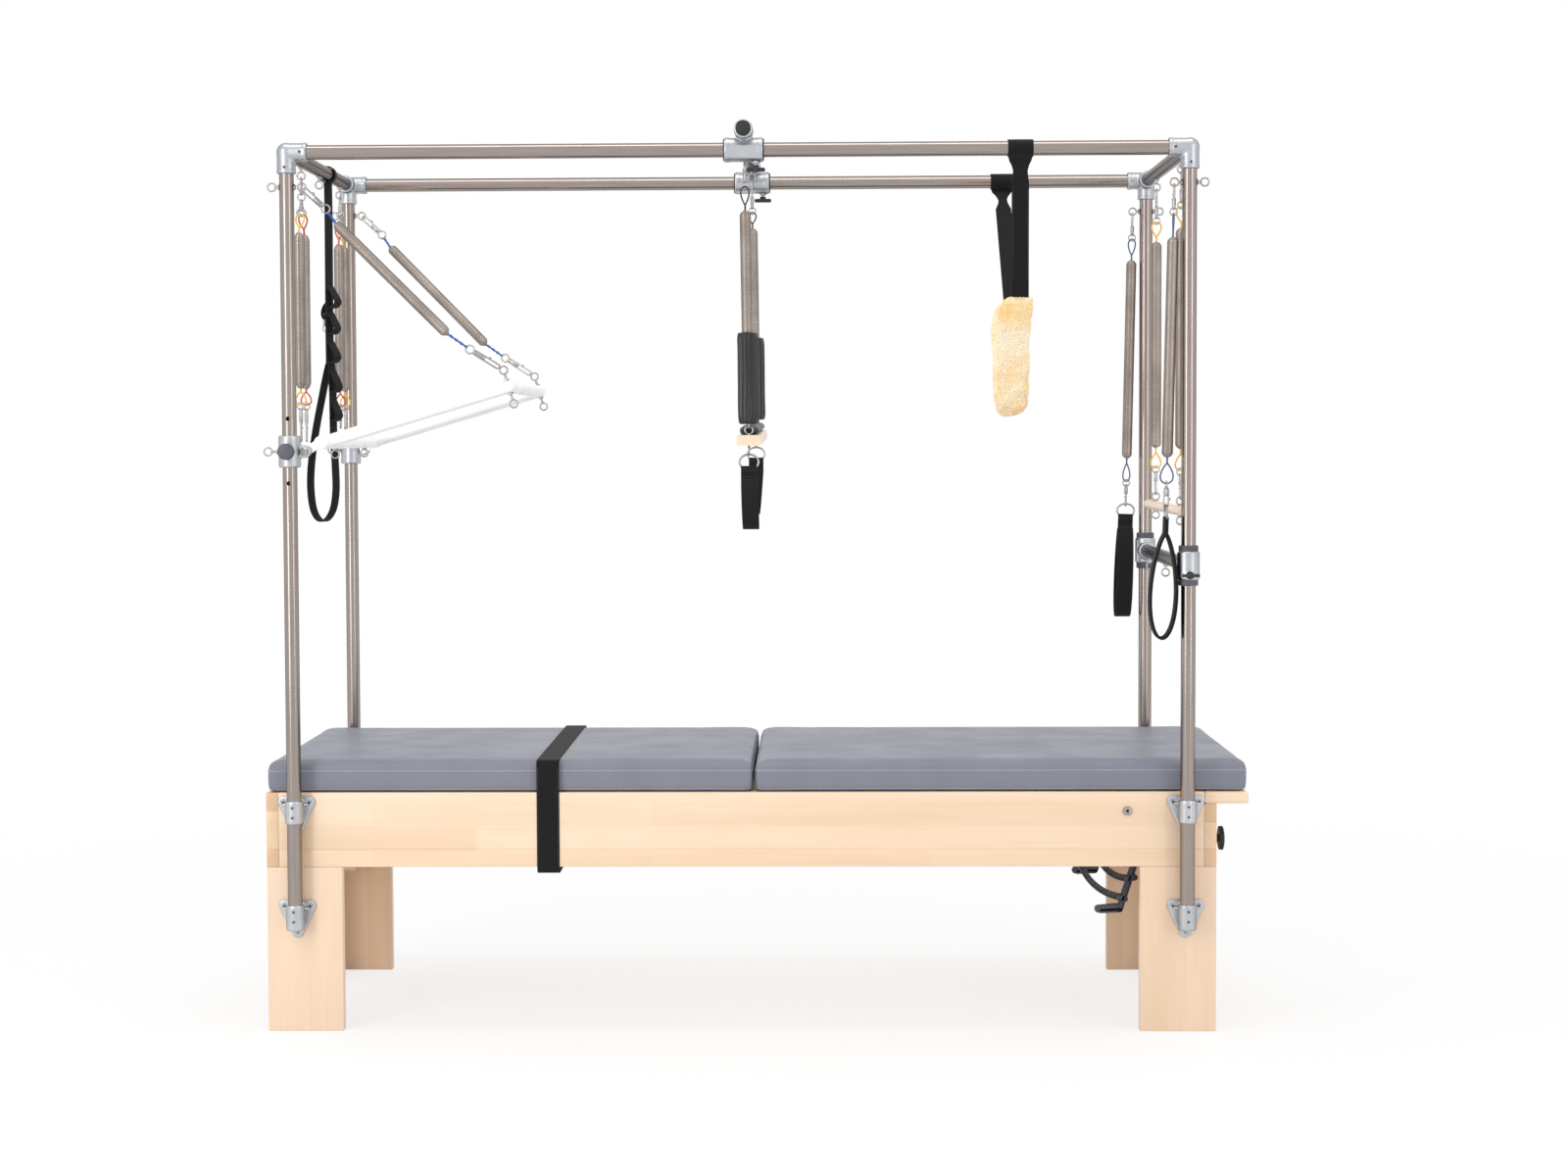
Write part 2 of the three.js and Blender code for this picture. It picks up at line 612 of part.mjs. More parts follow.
{
  const parts = [];
  for (const { side } of sides) {
    const y = side * pushBarY;
    parts.push(rod(withY(pushRoot, y), withY(pushEnd, y), pushBar.radius, tubeSides));
    parts.push(solidOf(new THREE.SphereGeometry(pushBar.radius, 8, 6).translate(pushEnd.x, y, pushEnd.z)));
    const earInner = lugInner - running - pivot.ear;
    const earOuter = lugInner - running;
    const [y0, y1] = side < 0 ? [-earOuter, -earInner] : [earInner, earOuter];
    const ear = hullOfCircles([[0, 0], [pushBar.rootRun, pushBar.rootRise]], pivot.earRadius, 4);
    parts.push(plateXZ(ear, pivotX, pushBarPivotHeight, y0, y1));
    const pinEnd = at(pivotX, side * (lugOuter + running), pushBarPivotHeight);
    parts.push(rod(at(pivotX, side * earInner, pushBarPivotHeight), pinEnd, pivot.pin, 8));
    parts.push(rod(pinEnd, from(pinEnd, alongY, side * pivot.headHeight), pivot.head, 8));
    parts.push(eyeBolt(withY(pushEnd, y), pushNormal, pushEyeReach));
    parts.push(eyeBolt(withY(pushEnd, y), pushNormal.clone().negate(), pushEyeReach));
    const rootEye = withY(pushRoot, y * pushBar.rootEyeShare);
    parts.push(eyeBolt(rootEye, down, pushBar.radius + pushBar.rootEyeOut));
  }
  const rootY = lugInner - running - pivot.ear / 2;
  parts.push(rod(withY(pushRoot, -rootY), withY(pushRoot, rootY), pushBar.radius, tubeSides));
  parts.push(rod(withY(pushEnd, -pushBarY), withY(pushEnd, pushBarY), pushBar.radius, tubeSides));
  piece("push_through_bar", joined(parts), finish(0xdcdcdf, 0.35, 1));
}

// Each push-bar spring hangs a little below the straight line between its eyes.
// Its stations are shares of that line's length, along it and below it.
const pushSpring = { radius: 12, wire: 3, turns: 26 };
const pushStationShares = {
  ring: [0.1182, 0], coilStart: [0.1824, 0.0152], coilEnd: [0.7531, 0.0405], lowRing: [0.8561, 0.027],
};
for (const { name, side } of sides) {
  const top = at(postEyeReach - postX, side * postY, postEyeHeight);
  const low = from(withY(pushEnd, side * pushBarY), pushNormal, pushEyeReach);
  const line = low.clone().sub(top).normalize();
  const below = squared(down, line);
  const span = top.distanceTo(low);
  const station = ([along, sag]) => from(top, line, along * span).addScaledVector(below, sag * span);
  const towards = (a, b) => b.clone().sub(a).normalize();
  const ringRound = (centre, direction) => wireLoop({
    centre, along: direction, across: squared(alongY, direction).cross(direction),
    halfLength: springRing.radius, wire: springRing.wire,
  });
  // A link between the places where its two end wires run
  const linkBetween = (start, end) => {
    const direction = towards(start, end);
    return hookLink(start, direction, squared(alongY, direction), start.distanceTo(end));
  };
  const [ring, coilStart, coilEnd, lowRing] = Object.values(pushStationShares).map(station);
  const coilLine = towards(coilStart, coilEnd);
  const topLine = towards(ring, coilStart);
  const lowLine = towards(coilEnd, lowRing);
  const endLine = towards(lowRing, low);
  const lead = pushSpring.wire;
  const coil = woundSpring(
    `push_bar_spring_${name}`, coilStart, coilLine, coilStart.distanceTo(coilEnd),
    pushSpring.radius, pushSpring.wire, pushSpring.turns,
  );
  const ringEdge = springRing.radius + springRing.wire / 2 + running;
  piece(`push_bar_spring_${name}`, joined([
    linkBetween(hookSeat(top, line), from(ring, line, -springRing.radius)),
    ringRound(ring, line),
    rod(from(ring, topLine, springRing.radius - springRing.wire), from(coilStart, coilLine, lead), lead, 5),
    coil,
    rod(from(coilEnd, coilLine, -lead), from(lowRing, lowLine, -ringEdge), lead, 5),
  ]), springSteel);
  const eyeEdge = eye.radius + (eye.wire + link.wire) / 2 + running;
  const lowLink = linkBetween(from(lowRing, endLine, springRing.radius), from(low, endLine, -eyeEdge));
  piece(`push_bar_hook_${name}`, lowLink.add(ringRound(lowRing, lowLine)), polished);
}

// Carriage: two castings that slide on the top rails, joined by the crossbar, with a screw under each

const casting = {
  wall: 11.125, halfLength: 44.5, between: 11.25, saddleWall: 5.125, saddleHalf: 31, neck: 15, screwX: 26.3,
};
const castingRadius = tubeR + casting.wall;
const crossbarZ = topRailHeight + tubeDiameter + casting.between;
const crossbarEnd = 50; // past the rail's axis
const trapezeInset = 43; // trapeze eyes in from the rails
const trapezeY = postY - trapezeInset;
const clampScrew = { pin: 4, reach: 27.125, handleHalf: 20.5, handle: 4.6 };
{
  const z = crossbarZ;
  const reach = postY + crossbarEnd;
  const parts = [rod(at(carriageX, -reach, z), at(carriageX, reach, z), tubeR, tubeSides)];
  const bores = [];
  for (const { side } of sides) {
    const y = side * postY;
    const along = (x) => at(carriageX + x, y, topRailHeight);
    parts.push(rod(along(-casting.halfLength), along(casting.halfLength), castingRadius, tubeSides));
    parts.push(rod(at(carriageX, y, topRailHeight), at(carriageX, y, z), casting.neck, 10));
    parts.push(rod(at(carriageX, y - casting.saddleHalf, z), at(carriageX, y + casting.saddleHalf, z),
      tubeR + casting.saddleWall, tubeSides));
    const past = 2 * casting.halfLength;
    bores.push(rod(along(-past), along(past), tubeR + running, tubeSides));
    const screwHole = at(carriageX + casting.screwX, y, topRailHeight);
    bores.push(rod(screwHole, from(screwHole, alongZ, -2 * castingRadius), clampScrew.pin + running, 8));
    parts.push(eyeBolt(at(carriageX, side * trapezeY, z), down, tubeEyeReach));
  }
  piece("crossbar_carriage", bores.reduce((s, b) => s.subtract(b), joined(parts)), castMetal);
}
for (const { name, side } of sides) {
  const x = carriageX + casting.screwX;
  const y = side * postY;
  const handleZ = topRailHeight - tubeR - clampScrew.reach;
  const stem = rod(at(x, y, topRailHeight - tubeR - 2 * running), at(x, y, handleZ), clampScrew.pin, 8);
  const handle = rod(at(x - clampScrew.handleHalf, y, handleZ), at(x + clampScrew.handleHalf, y, handleZ),
    clampScrew.handle, 8);
  piece(`carriage_screw_${name}`, stem.add(handle), blackPlastic);
}

// Trapeze: two sprung legs under the crossbar carry a padded wooden bar with a webbing cuff at each end

const cloth = { thickness: 3, steps: 16 };
const dRing = { halfWidth: 21, halfLength: 14, wire: 2.2 };

// A spring that hangs between two eyes: a hook, a wire loop, the wound body, another loop and a hook.
// The four drops below the upper eye are where the parts meet.
function hungSpring({ top, bottom, across, lowAcross, drops, radius }) {
  const direction = bottom.clone().sub(top).normalize();
  const [hookEnd, coilStart, coilEnd, loopEnd] = drops.map((drop) => drop / -direction.z);
  const upper = squared(across, direction);
  const lower = squared(lowAcross, direction);
  const seat = hookSeat(top, direction);
  const lowSeat = hookSeat(bottom, direction.clone().negate());
  const wireLoopAt = (start, end, along, sideways) =>
    dropLoop({
      top: from(top, direction, start), along, across: sideways, length: Math.abs(end - start),
      halfWidth: link.loopHalf, section: roundSection(link.wire), steps: 8, taper: 1 / 3,
    });
  const flip = direction.clone().negate();
  const lead = link.wire;
  const coilLength = coilEnd - coilStart + 2 * lead;
  return joined([
    hookLink(seat, direction, upper, hookEnd - seat.distanceTo(top)),
    wireLoopAt(coilStart, hookEnd, flip, lower.clone().cross(direction)),
    closeSpring(from(top, direction, coilStart - lead), direction, coilLength, radius, 2 * lead),
    wireLoopAt(coilEnd, loopEnd, direction, lower.clone().cross(direction)),
    hookLink(from(top, direction, loopEnd), direction, lower, lowSeat.distanceTo(top) - loopEnd),
  ]);
}

// Drops are measured from the eyes under the crossbar
const trapeze = {
  lean: 8, tilt: 6.5, overhang: 15, width: 54, wood: 23, padInset: 13, padWidth: 51, padRise: 19,
  eyeReach: 12, springRadius: 12.6, sleeveRadius: 24, barDrop: 633.5, cuffDrop: 204,
  cuffWidth: 36, cuffNeck: 30, cuffHalf: 40, cuffLean: 4,
};
const trapezeDrops = {
  hookEnd: 88.5, frontCoil: 138.5, rearCoil: 125.5, sleeveTop: 401.5, sleeveEnd: 597.5,
};
{
  const x = carriageX + trapeze.lean;
  const eyeZ = crossbarZ - tubeEyeReach;
  const woodZ = eyeZ - trapeze.barDrop;
  const half = trapezeY + trapeze.overhang;
  const padHalf = trapezeY - trapeze.padInset;
  const middle = (y) => at(x, y, woodZ + (trapeze.tilt * y) / half);
  const board = ribbon(
    [-half, half].map((y) => ({ point: middle(y), width: trapeze.width, thick: trapeze.wood })), alongX, 4,
  );
  const padTop = ribbon(
    [-padHalf, padHalf].map((y) => ({
      point: from(middle(y), alongZ, trapeze.wood / 2), width: trapeze.padWidth, thick: 2 * trapeze.padRise,
    })), alongX, 10,
  );
  const parts = [board, padTop];
  for (const { name, side } of sides) {
    const y = side * trapezeY;
    const topFace = from(middle(y), alongZ, trapeze.wood / 2 - bury);
    const topEye = from(topFace, alongZ, trapeze.eyeReach);
    parts.push(eyeBolt(topFace, alongZ, trapeze.eyeReach));
    const lowFace = from(middle(y), alongZ, bury - trapeze.wood / 2);
    parts.push(eyeBolt(lowFace, down, trapeze.eyeReach, alongX));
    const ringCentre = from(lowFace, down, trapeze.eyeReach + eye.radius + dRing.halfLength);
    parts.push(wireLoop({
      centre: ringCentre, along: alongX, across: alongZ,
      halfLength: dRing.halfWidth, halfWidth: dRing.halfLength, wire: dRing.wire,
    }));
    const neckTop = from(ringCentre, down, dRing.halfLength);
    const neckEnd = from(neckTop, down, trapeze.cuffNeck);
    const strip = { width: trapeze.cuffWidth, thick: 2 * cloth.thickness };
    parts.push(ribbon([{ point: neckTop, ...strip }, { point: neckEnd, ...strip }], alongX, 4));
    const cuffEnd = at(x + trapeze.cuffLean, y, woodZ - trapeze.cuffDrop + trapeze.tilt * (1 + side));
    const along = cuffEnd.clone().sub(neckEnd).normalize();
    parts.push(dropLoop({
      top: from(neckEnd, along, -cloth.thickness), along, across: alongY, halfWidth: trapeze.cuffHalf,
      length: cuffEnd.distanceTo(neckEnd), section: flatSection(cloth.thickness, trapeze.cuffWidth),
      steps: cloth.steps, taper: 1 / 2,
    }));

    const { hookEnd, frontCoil, rearCoil, sleeveTop, sleeveEnd } = trapezeDrops;
    const sleeveIn = trapeze.sleeveRadius;
    const crossbarEye = at(carriageX, y, eyeZ);
    const spring = hungSpring({
      top: crossbarEye, bottom: topEye, across: alongY, lowAcross: alongY, radius: trapeze.springRadius,
      drops: [hookEnd, side < 0 ? frontCoil : rearCoil, sleeveTop + sleeveIn, sleeveEnd - sleeveIn],
    });
    const direction = topEye.clone().sub(crossbarEye).normalize();
    const onLine = (drop) => from(crossbarEye, direction, (drop - trapeze.tilt * side) / -direction.z);
    const sleeve = rod(onLine(sleeveEnd), onLine(sleeveTop), trapeze.sleeveRadius, 10);
    piece(`trapeze_spring_${name}`, spring.add(sleeve), springSteel);
  }
  piece("trapeze_bar", joined(parts), maple);
}

// Roll-back bar: sleeves on the foot posts with a tube between them, clamped by a lever on each

const rollBack = {
  sleeveWall: 8.625, sleeveHalf: 32, bushingWall: 5.625, bushingHalf: 44, frontEyeY: -5, rearEyeInset: 99,
  lever: 4, leverOut: 19.5, leverHalf: 19, leverArm: 3.6, leverDrop: 20, hub: 8.5, hubDepth: 12,
};
{
  const z = rollBackHeight;
  const parts = [rod(at(postX, -postY, z), at(postX, postY, z), tubeR, tubeSides)];
  const sleeveRadius = tubeR + rollBack.sleeveWall;
  for (const y of [rollBack.frontEyeY, postY - rollBack.rearEyeInset])
    parts.push(eyeBolt(at(postX, y, z), down, tubeEyeReach));
  const cuts = [];
  for (const { side } of sides) {
    const y = side * postY;
    const span = (half, radius) => rod(at(postX, y, z - half), at(postX, y, z + half), radius, tubeSides);
    parts.push(span(rollBack.sleeveHalf, sleeveRadius));
    parts.push(span(rollBack.bushingHalf, tubeR + rollBack.bushingWall));
    cuts.push(span(2 * rollBack.bushingHalf, tubeR + running));
    const hole = at(postX, y, z - rollBack.leverDrop);
    cuts.push(rod(hole, from(hole, alongY, side * 2 * sleeveRadius), rollBack.lever + running, 8));
  }
  piece("roll_back_bar", cuts.reduce((s, c) => s.subtract(c), joined(parts)), castMetal);
  for (const { name, side } of sides) {
    const hole = at(postX, side * postY, z - rollBack.leverDrop);
    const outward = alongY.clone().multiplyScalar(side);
    const reach = sleeveRadius + rollBack.leverOut;
    const face = sleeveRadius + running;
    const out = (distance) => from(hole, outward, distance);
    const stem = rod(out(tubeR + 2 * running), out(reach), rollBack.lever, 8);
    const hub = rod(out(face), out(face + rollBack.hubDepth), rollBack.hub, 8);
    const middle = out(reach - rollBack.leverArm);
    const ends = [-1, 1].map((k) => from(middle, alongX, k * rollBack.leverHalf));
    const arm = rod(ends[0], ends[1], rollBack.leverArm, 8);
    piece(`roll_back_lever_${name}`, joined([stem, hub, arm]), blackPlastic);
  }
}

// Foot springs with their padded loops, on the inner eyes of the foot posts

// Insets are measured from the face of the post's tube, and drops from its eyes
const footLoops = {
  front: {
    ringInset: 33.625, ringDrop: 715, inset: 42.625, halfWidth: 33, drop: 995, coilEnd: 595, across: alongX,
  },
  rear: {
    ringInset: 32.625, ringDrop: 732, inset: 40.625, halfWidth: 42, drop: 997, coilEnd: 604, across: alongY,
  },
};
const footStrap = {
  width: 39, neckWidth: 36, neck: 36, hookEnd: 72, coilStart: 121, loopLength: 54, springRadius: 12.6,
};
for (const { name, side } of sides) {
  const { ringInset, ringDrop, inset, halfWidth, drop, coilEnd, across } = footLoops[name];
  const y = side * postY;
  const widthways = across === alongX ? alongY : alongX;
  const ring = at(postX - tubeR - ringInset, y, postEyeHeight - ringDrop);
  const bottom = postEyeHeight - drop;
  const parts = [wireLoop({
    centre: ring, along: widthways, across: alongZ, halfLength: dRing.halfWidth, halfWidth: dRing.halfLength,
    wire: dRing.wire,
  })];
  const neckTop = from(ring, down, dRing.halfLength);
  const along = at(postX - tubeR - inset, y, bottom).sub(neckTop).normalize();
  const neckEnd = from(neckTop, along, footStrap.neck);
  const strip = { width: footStrap.neckWidth, thick: 3 * cloth.thickness };
  parts.push(ribbon([{ point: neckTop, ...strip }, { point: neckEnd, ...strip }], widthways, 4));
  parts.push(dropLoop({
    top: from(neckEnd, along, -cloth.thickness), along, across: squared(across, along), halfWidth,
    length: (neckEnd.z - bottom) / -along.z, section: flatSection(2 * cloth.thickness, footStrap.width),
    steps: cloth.steps, taper: 1 / 2,
  }));
  piece(`foot_loop_${name}`, joined(parts), webbing);

  const postEye = at(postX - postEyeReach, y, postEyeHeight);
  const ringTop = from(ring, alongZ, dRing.halfLength - eye.radius + eye.wire - dRing.wire);
  piece(`foot_spring_${name}`, hungSpring({
    top: postEye, bottom: ringTop, across: alongY, lowAcross: across, radius: footStrap.springRadius,
    drops: [footStrap.hookEnd, footStrap.coilStart, coilEnd, coilEnd + footStrap.loopLength],
  }), springSteel);
}

// Roll-down bar: a wooden dowel on two springs under the foot cross tube

const rollDown = { radius: 11.5, frontInset: 93, rearInset: 62, eyeReach: 22, springRadius: 12.6 };
const rollDownDrops = { hookEnd: 57.5, coilStart: 131.5, coilEnd: 617.5, loopEnd: 667.5 };
{
  const x = postX;
  const frontEnd = at(x, rollDown.frontInset - postY, rollDownHeight);
  const rearEnd = at(x, postY - rollDown.rearInset, rollDownHeight);
  const parts = [rod(frontEnd, rearEnd, rollDown.radius, 10)];
  for (const [name, y] of Object.entries(rollDownEyes)) {
    parts.push(eyeBolt(at(x, y, rollDownHeight), alongZ, rollDown.eyeReach));
    parts.push(eyeBolt(at(x, y, rollDownHeight), down, rollDown.eyeReach));
    piece(`roll_down_spring_${name}`, hungSpring({
      top: at(x, y, topRailHeight - tubeEyeReach), bottom: at(x, y, rollDownHeight + rollDown.eyeReach),
      across: alongY, lowAcross: alongY, radius: rollDown.springRadius, drops: Object.values(rollDownDrops),
    }), springSteel);
  }
  piece("roll_down_bar", joined(parts), maple);
}

// Spare springs in pairs, each pair on one eye under the head cross tube

// Each pair hangs to either side of its eye. Drops are measured from the eye.
const stored = {
  radius: 12, loopHalf: 12.4, hookEnd: 55.5,
  front: { outer: 33, inner: 29, coilStart: 130.5, coilEnd: 475.5, loopEnd: 508.5, end: 595.5 },
  rear: { outer: 20, inner: 46, coilStart: 121.5, coilEnd: 473.5, loopEnd: 507.5, end: 564.5 },
};
for (const { name } of sides) {
  const { outer, inner, coilStart, coilEnd, loopEnd, end } = stored[name];
  const y = storedEyes[name];
  const top = at(-postX, y, topRailHeight - tubeEyeReach);
  const seat = hookSeat(top, down);
  const shared = from(top, down, stored.hookEnd);
  const lead = link.wire;
  const parts = [hookLink(seat, down, alongY, seat.z - shared.z)];
  for (const across of [-outer, inner]) {
    const below = (drop) => from(from(top, alongY, across), down, drop);
    const reach = below(coilStart).sub(shared);
    parts.push(wireLoop({
      centre: from(shared, reach, 1 / 2), along: reach.clone().normalize(), across: alongX,
      halfLength: reach.length() / 2, halfWidth: link.halfWidth, wire: link.wire,
    }));
    const coilLength = coilEnd - coilStart + 2 * lead;
    parts.push(closeSpring(below(coilStart - lead), down, coilLength, stored.radius, 2 * lead));
    parts.push(dropLoop({
      top: below(coilEnd), along: down, across: alongX, length: loopEnd - coilEnd,
      halfWidth: stored.loopHalf, section: roundSection(link.wire), steps: 8, taper: 1 / 3,
    }));
    parts.push(hookLink(below(loopEnd), down, alongY, end - loopEnd));
  }
  piece(`stored_springs_${name}`, joined(parts), springSteel);
}

// Soft sling hitched over both top rails

const hitch = { width: 55, thickness: 3.2 };
const sling = { strap: 38, pad: 78, padThick: 24, halfWidth: 174, drop: 564, skewShare: 0.0165 };
const strapEndShare = 0.5355; // of the drop, where the padded part starts at the half width
// Half of the padded part, as shares of the half width and of the drop
const slingShares = [
  [0.9655, 0.5532], [0.8621, 0.6064], [0.6207, 0.727], [0.3793, 0.8582], [0.1954, 0.9645], [0, 1],
];
const wrap = (axisStart, axisEnd) =>
  rod(axisStart, axisEnd, tubeR + gap + hitch.thickness, tubeSides);
{
  const xAt = (y) => slingX + y * sling.skewShare;
  const below = (share) => topRailHeight - share * sling.drop;
  const strapTop = topRailHeight - tubeR - gap - hitch.thickness / 2;
  const half = [{ y: postY, z: strapTop, width: sling.strap, thick: cloth.thickness },
    { y: sling.halfWidth, z: below(strapEndShare), width: sling.strap, thick: cloth.thickness },
    ...slingShares.map(([out, drop]) => (
      { y: out * sling.halfWidth, z: below(drop), width: sling.pad, thick: sling.padThick }
    ))];
  const rear = half.slice(0, -1).map((s) => ({ ...s })).reverse();
  const stations = [...half.map((s) => ({ ...s, y: -s.y })), ...rear]
    .map(({ y, z, width, thick }) => ({ point: at(xAt(y), y, z), width, thick }));
  let body = ribbon(stations, alongX, 8);
  for (const { side } of sides) {
    const x = xAt(side * postY);
    const axis = (dx) => at(x + dx, side * postY, topRailHeight);
    body = body.add(wrap(axis(-hitch.width / 2), axis(hitch.width / 2)));
    body = body.subtract(rod(axis(-2 * hitch.width), axis(2 * hitch.width), tubeR + gap, tubeSides));
  }
  piece("sling", body, fleece);
}

// Long webbing strap with three grips, hitched over the head cross tube

// Drops are measured from the axis of the tube
const longStrap = {
  y: 111, width: 25, turn: Math.PI / 6, neckThick: 2 * cloth.thickness, splitDrop: 447,
  loopDrop: 442, loopWidth: 78, loopLength: 376, gripRise: 26, gripOut: 15, neckSide: 1, loopSide: 7,
};
const gripDrops = [416, 479, 548];
const gripShares = { shoulder: 0.7, foot: 0.9 };
// The loop, as shares of its width outward from the neck and of its length
const loopShares = [
  [0, 0], [0.09, 0.16], [0.103, 0.319], [0.115, 0.479], [0.167, 0.665], [0.18, 0.811], [0.064, 0.931],
  [-0.205, 1], [-0.487, 1], [-0.718, 0.936], [-0.82, 0.811], [-0.795, 0.665], [-0.641, 0.479],
  [-0.385, 0.266],
];
{
  const axisX = -postX;
  const sideways = at(Math.cos(longStrap.turn), -Math.sin(longStrap.turn), 0);
  const widthways = at(Math.sin(longStrap.turn), Math.cos(longStrap.turn), 0);
  const place = ([out, z]) => from(at(axisX, longStrap.y, z), sideways, out);
  const splitHeight = topRailHeight - longStrap.splitDrop;
  const loopTop = topRailHeight - longStrap.loopDrop;
  const { loopWidth, loopLength } = longStrap;
  const loop = loopShares.map(([out, fall]) => place([out * loopWidth, loopTop - fall * loopLength]));
  const ringBottom = topRailHeight - tubeR - gap - hitch.thickness / 2;
  const strip = { width: longStrap.width, thick: longStrap.neckThick };
  const parts = [
    ribbon([
      { point: at(axisX, longStrap.y, ringBottom), ...strip, across: alongY },
      { point: at(axisX, longStrap.y, (ringBottom + splitHeight) / 2), ...strip },
      { point: at(axisX, longStrap.y, splitHeight), ...strip },
    ], widthways, 4),
    closedPath(
      loop, sideways.clone().cross(down).normalize(), flatSection(cloth.thickness, longStrap.width),
    ),
  ];
  for (const z of gripDrops.map((drop) => topRailHeight - drop)) {
    const rise = longStrap.gripRise;
    const out = longStrap.gripOut;
    const leg = z > splitHeight ? longStrap.neckSide : longStrap.loopSide;
    const arc = [
      [leg, z + rise], [leg + out * gripShares.shoulder, z + rise / 3], [leg + out, z - rise / 3],
      [leg, z - rise * gripShares.foot],
    ];
    parts.push(ribbon(arc.map((p) => ({ point: place(p), width: longStrap.width, thick: cloth.thickness })),
      widthways, 4));
  }
  const ends = [-1, 1].map((k) => at(axisX, longStrap.y + (k * longStrap.width) / 2, topRailHeight));
  const bore = [-1, 1].map((k) => at(axisX, longStrap.y + k * longStrap.width, topRailHeight));
  // The strap turns on the tube, so the flats of its bore clear the corners of the tube
  const turning = (tubeR + gap / 2) / Math.cos(Math.PI / tubeSides);
  const hole = rod(bore[0], bore[1], turning, tubeSides);
  piece("long_strap", joined([...parts, wrap(ends[0], ends[1])]).subtract(hole), webbing);
}

// Quadrant brackets under the deck: a slanting spoke with two curved ribs and a foot

// Reaches along X are measured from the centre of the ribs, and drops from the deck
const quadrant = {
  sideInset: 86, thick: 16, fromEnd: 184, drop: 110.4, outer: 120, inner: 76, rib: 14, spoke: 8,
  plateReach: 57, footReach: -20, toeReach: -68, footDrop: 248.4, plateHeight: 12,
};
const quadrantSteps = 5;
const sweepShares = { outer: 0.44, inner: 0.47 };
for (const { name, side } of sides) {
  const y0 = side * (halfW - quadrant.sideInset) - quadrant.thick / 2;
  const y1 = y0 + quadrant.thick;
  const bar = (a, b, radius) => plateXZ(hullOfCircles([a, b], radius, 4), 0, 0, y0, y1);
  const topZ = deckBottom - gap;
  const cx = halfL - quadrant.fromEnd;
  const cz = topZ - quadrant.drop;
  const plateX = cx + quadrant.plateReach;
  const foot = [cx + quadrant.footReach, topZ - quadrant.footDrop];
  const toe = [cx + quadrant.toeReach, topZ - quadrant.footDrop];
  const parts = [
    bar([plateX, topZ - quadrant.spoke], foot, quadrant.spoke),
    bar(foot, toe, quadrant.spoke),
    box(cx - quadrant.outer, plateX, y0, y1, topZ - quadrant.plateHeight, topZ),
  ];
  const ribs = (radius, sweepShare) => {
    const arc = (r) => Array.from({ length: quadrantSteps + 1 }, (_, k) => {
      const angle = Math.PI * (1 + (sweepShare * k) / quadrantSteps);
      return [cx + r * Math.cos(angle), cz + r * Math.sin(angle)];
    });
    const rootZ = topZ - quadrant.plateHeight / 2;
    const inside = radius - quadrant.rib;
    const outline = [[cx - radius, rootZ], ...arc(radius), ...arc(inside).reverse(), [cx - inside, rootZ]];
    const shape = new THREE.Shape();
    outline.forEach(([x, z], i) => (i ? shape.lineTo(x, z) : shape.moveTo(x, z)));
    return plateXZ(shape, 0, 0, y0, y1);
  };
  parts.push(ribs(quadrant.outer, sweepShares.outer), ribs(quadrant.inner, sweepShares.inner));
  piece(`quadrant_bracket_${name}`, joined(parts), blackPlastic);
}

// Knob on the foot end
const knob = { y: -200, rise: 40.5, radius: 27, disc: 12, stem: 7, reach: 38 };
{
  const face = halfL + gap;
  piece("end_knob", turned([
    [0, 0], [knob.stem, 0], [knob.stem, knob.reach - knob.disc], [knob.radius, knob.reach - knob.disc],
    [knob.radius, knob.reach], [0, knob.reach],
  ], at(face, knob.y, railBottom + knob.rise), alongX, 10), blackPlastic);
}

export default table;
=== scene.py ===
import math

import bmesh
import bpy
import numpy as np
from mathutils import Matrix, Vector, noise


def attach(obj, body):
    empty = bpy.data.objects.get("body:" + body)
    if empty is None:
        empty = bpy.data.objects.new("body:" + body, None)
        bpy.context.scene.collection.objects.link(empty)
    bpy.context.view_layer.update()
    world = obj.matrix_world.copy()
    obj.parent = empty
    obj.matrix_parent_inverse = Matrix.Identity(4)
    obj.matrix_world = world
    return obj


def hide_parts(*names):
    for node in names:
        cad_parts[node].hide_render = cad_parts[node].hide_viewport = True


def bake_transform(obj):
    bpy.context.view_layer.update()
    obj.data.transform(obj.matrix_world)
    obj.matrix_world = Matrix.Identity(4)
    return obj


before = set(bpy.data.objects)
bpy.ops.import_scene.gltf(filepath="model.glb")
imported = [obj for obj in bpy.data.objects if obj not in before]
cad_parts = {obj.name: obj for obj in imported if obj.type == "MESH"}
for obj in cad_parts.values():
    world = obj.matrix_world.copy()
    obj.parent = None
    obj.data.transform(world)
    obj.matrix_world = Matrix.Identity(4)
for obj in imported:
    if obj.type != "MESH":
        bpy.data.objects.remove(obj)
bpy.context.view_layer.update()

# Sizes of the table, as in the part
MM = 0.001
ORIGIN_X = -35.25
HALF_L, HALF_W = 1052, 348
FRAME_TOP, RAIL_BOTTOM, BOARD = 533, 367.5, 27
LEG_WIDTH, DECK_TOP, DECK_BOTTOM, LEDGE_END = 168, 532.7, 506.7, 1122.5
PAD_THICK, PAD_HALF_W, PAD_SPLIT, PAD_CORNER = 70, 341, 30.8, 10
TUBE, POST_X, POST_Y, TOP_RAIL = 15.875, 983.5, 378, 1942
CROSSBAR_X, CROSSBAR_Z, CROSSBAR_END = 15.5, 1985, 50
POST_EYE_Z, POST_EYE_REACH, TUBE_EYE_REACH = 1867, 33, 34.5
TRAPEZE_Y, SLING_X, SLING_HALF, SLING_DROP = 335, 623, 174, 564
PIVOT_Z, ROLL_BACK_Z, ROLL_DOWN_Z = 1290, 1034, 1150
GAP = 0.3
BODY = "table"
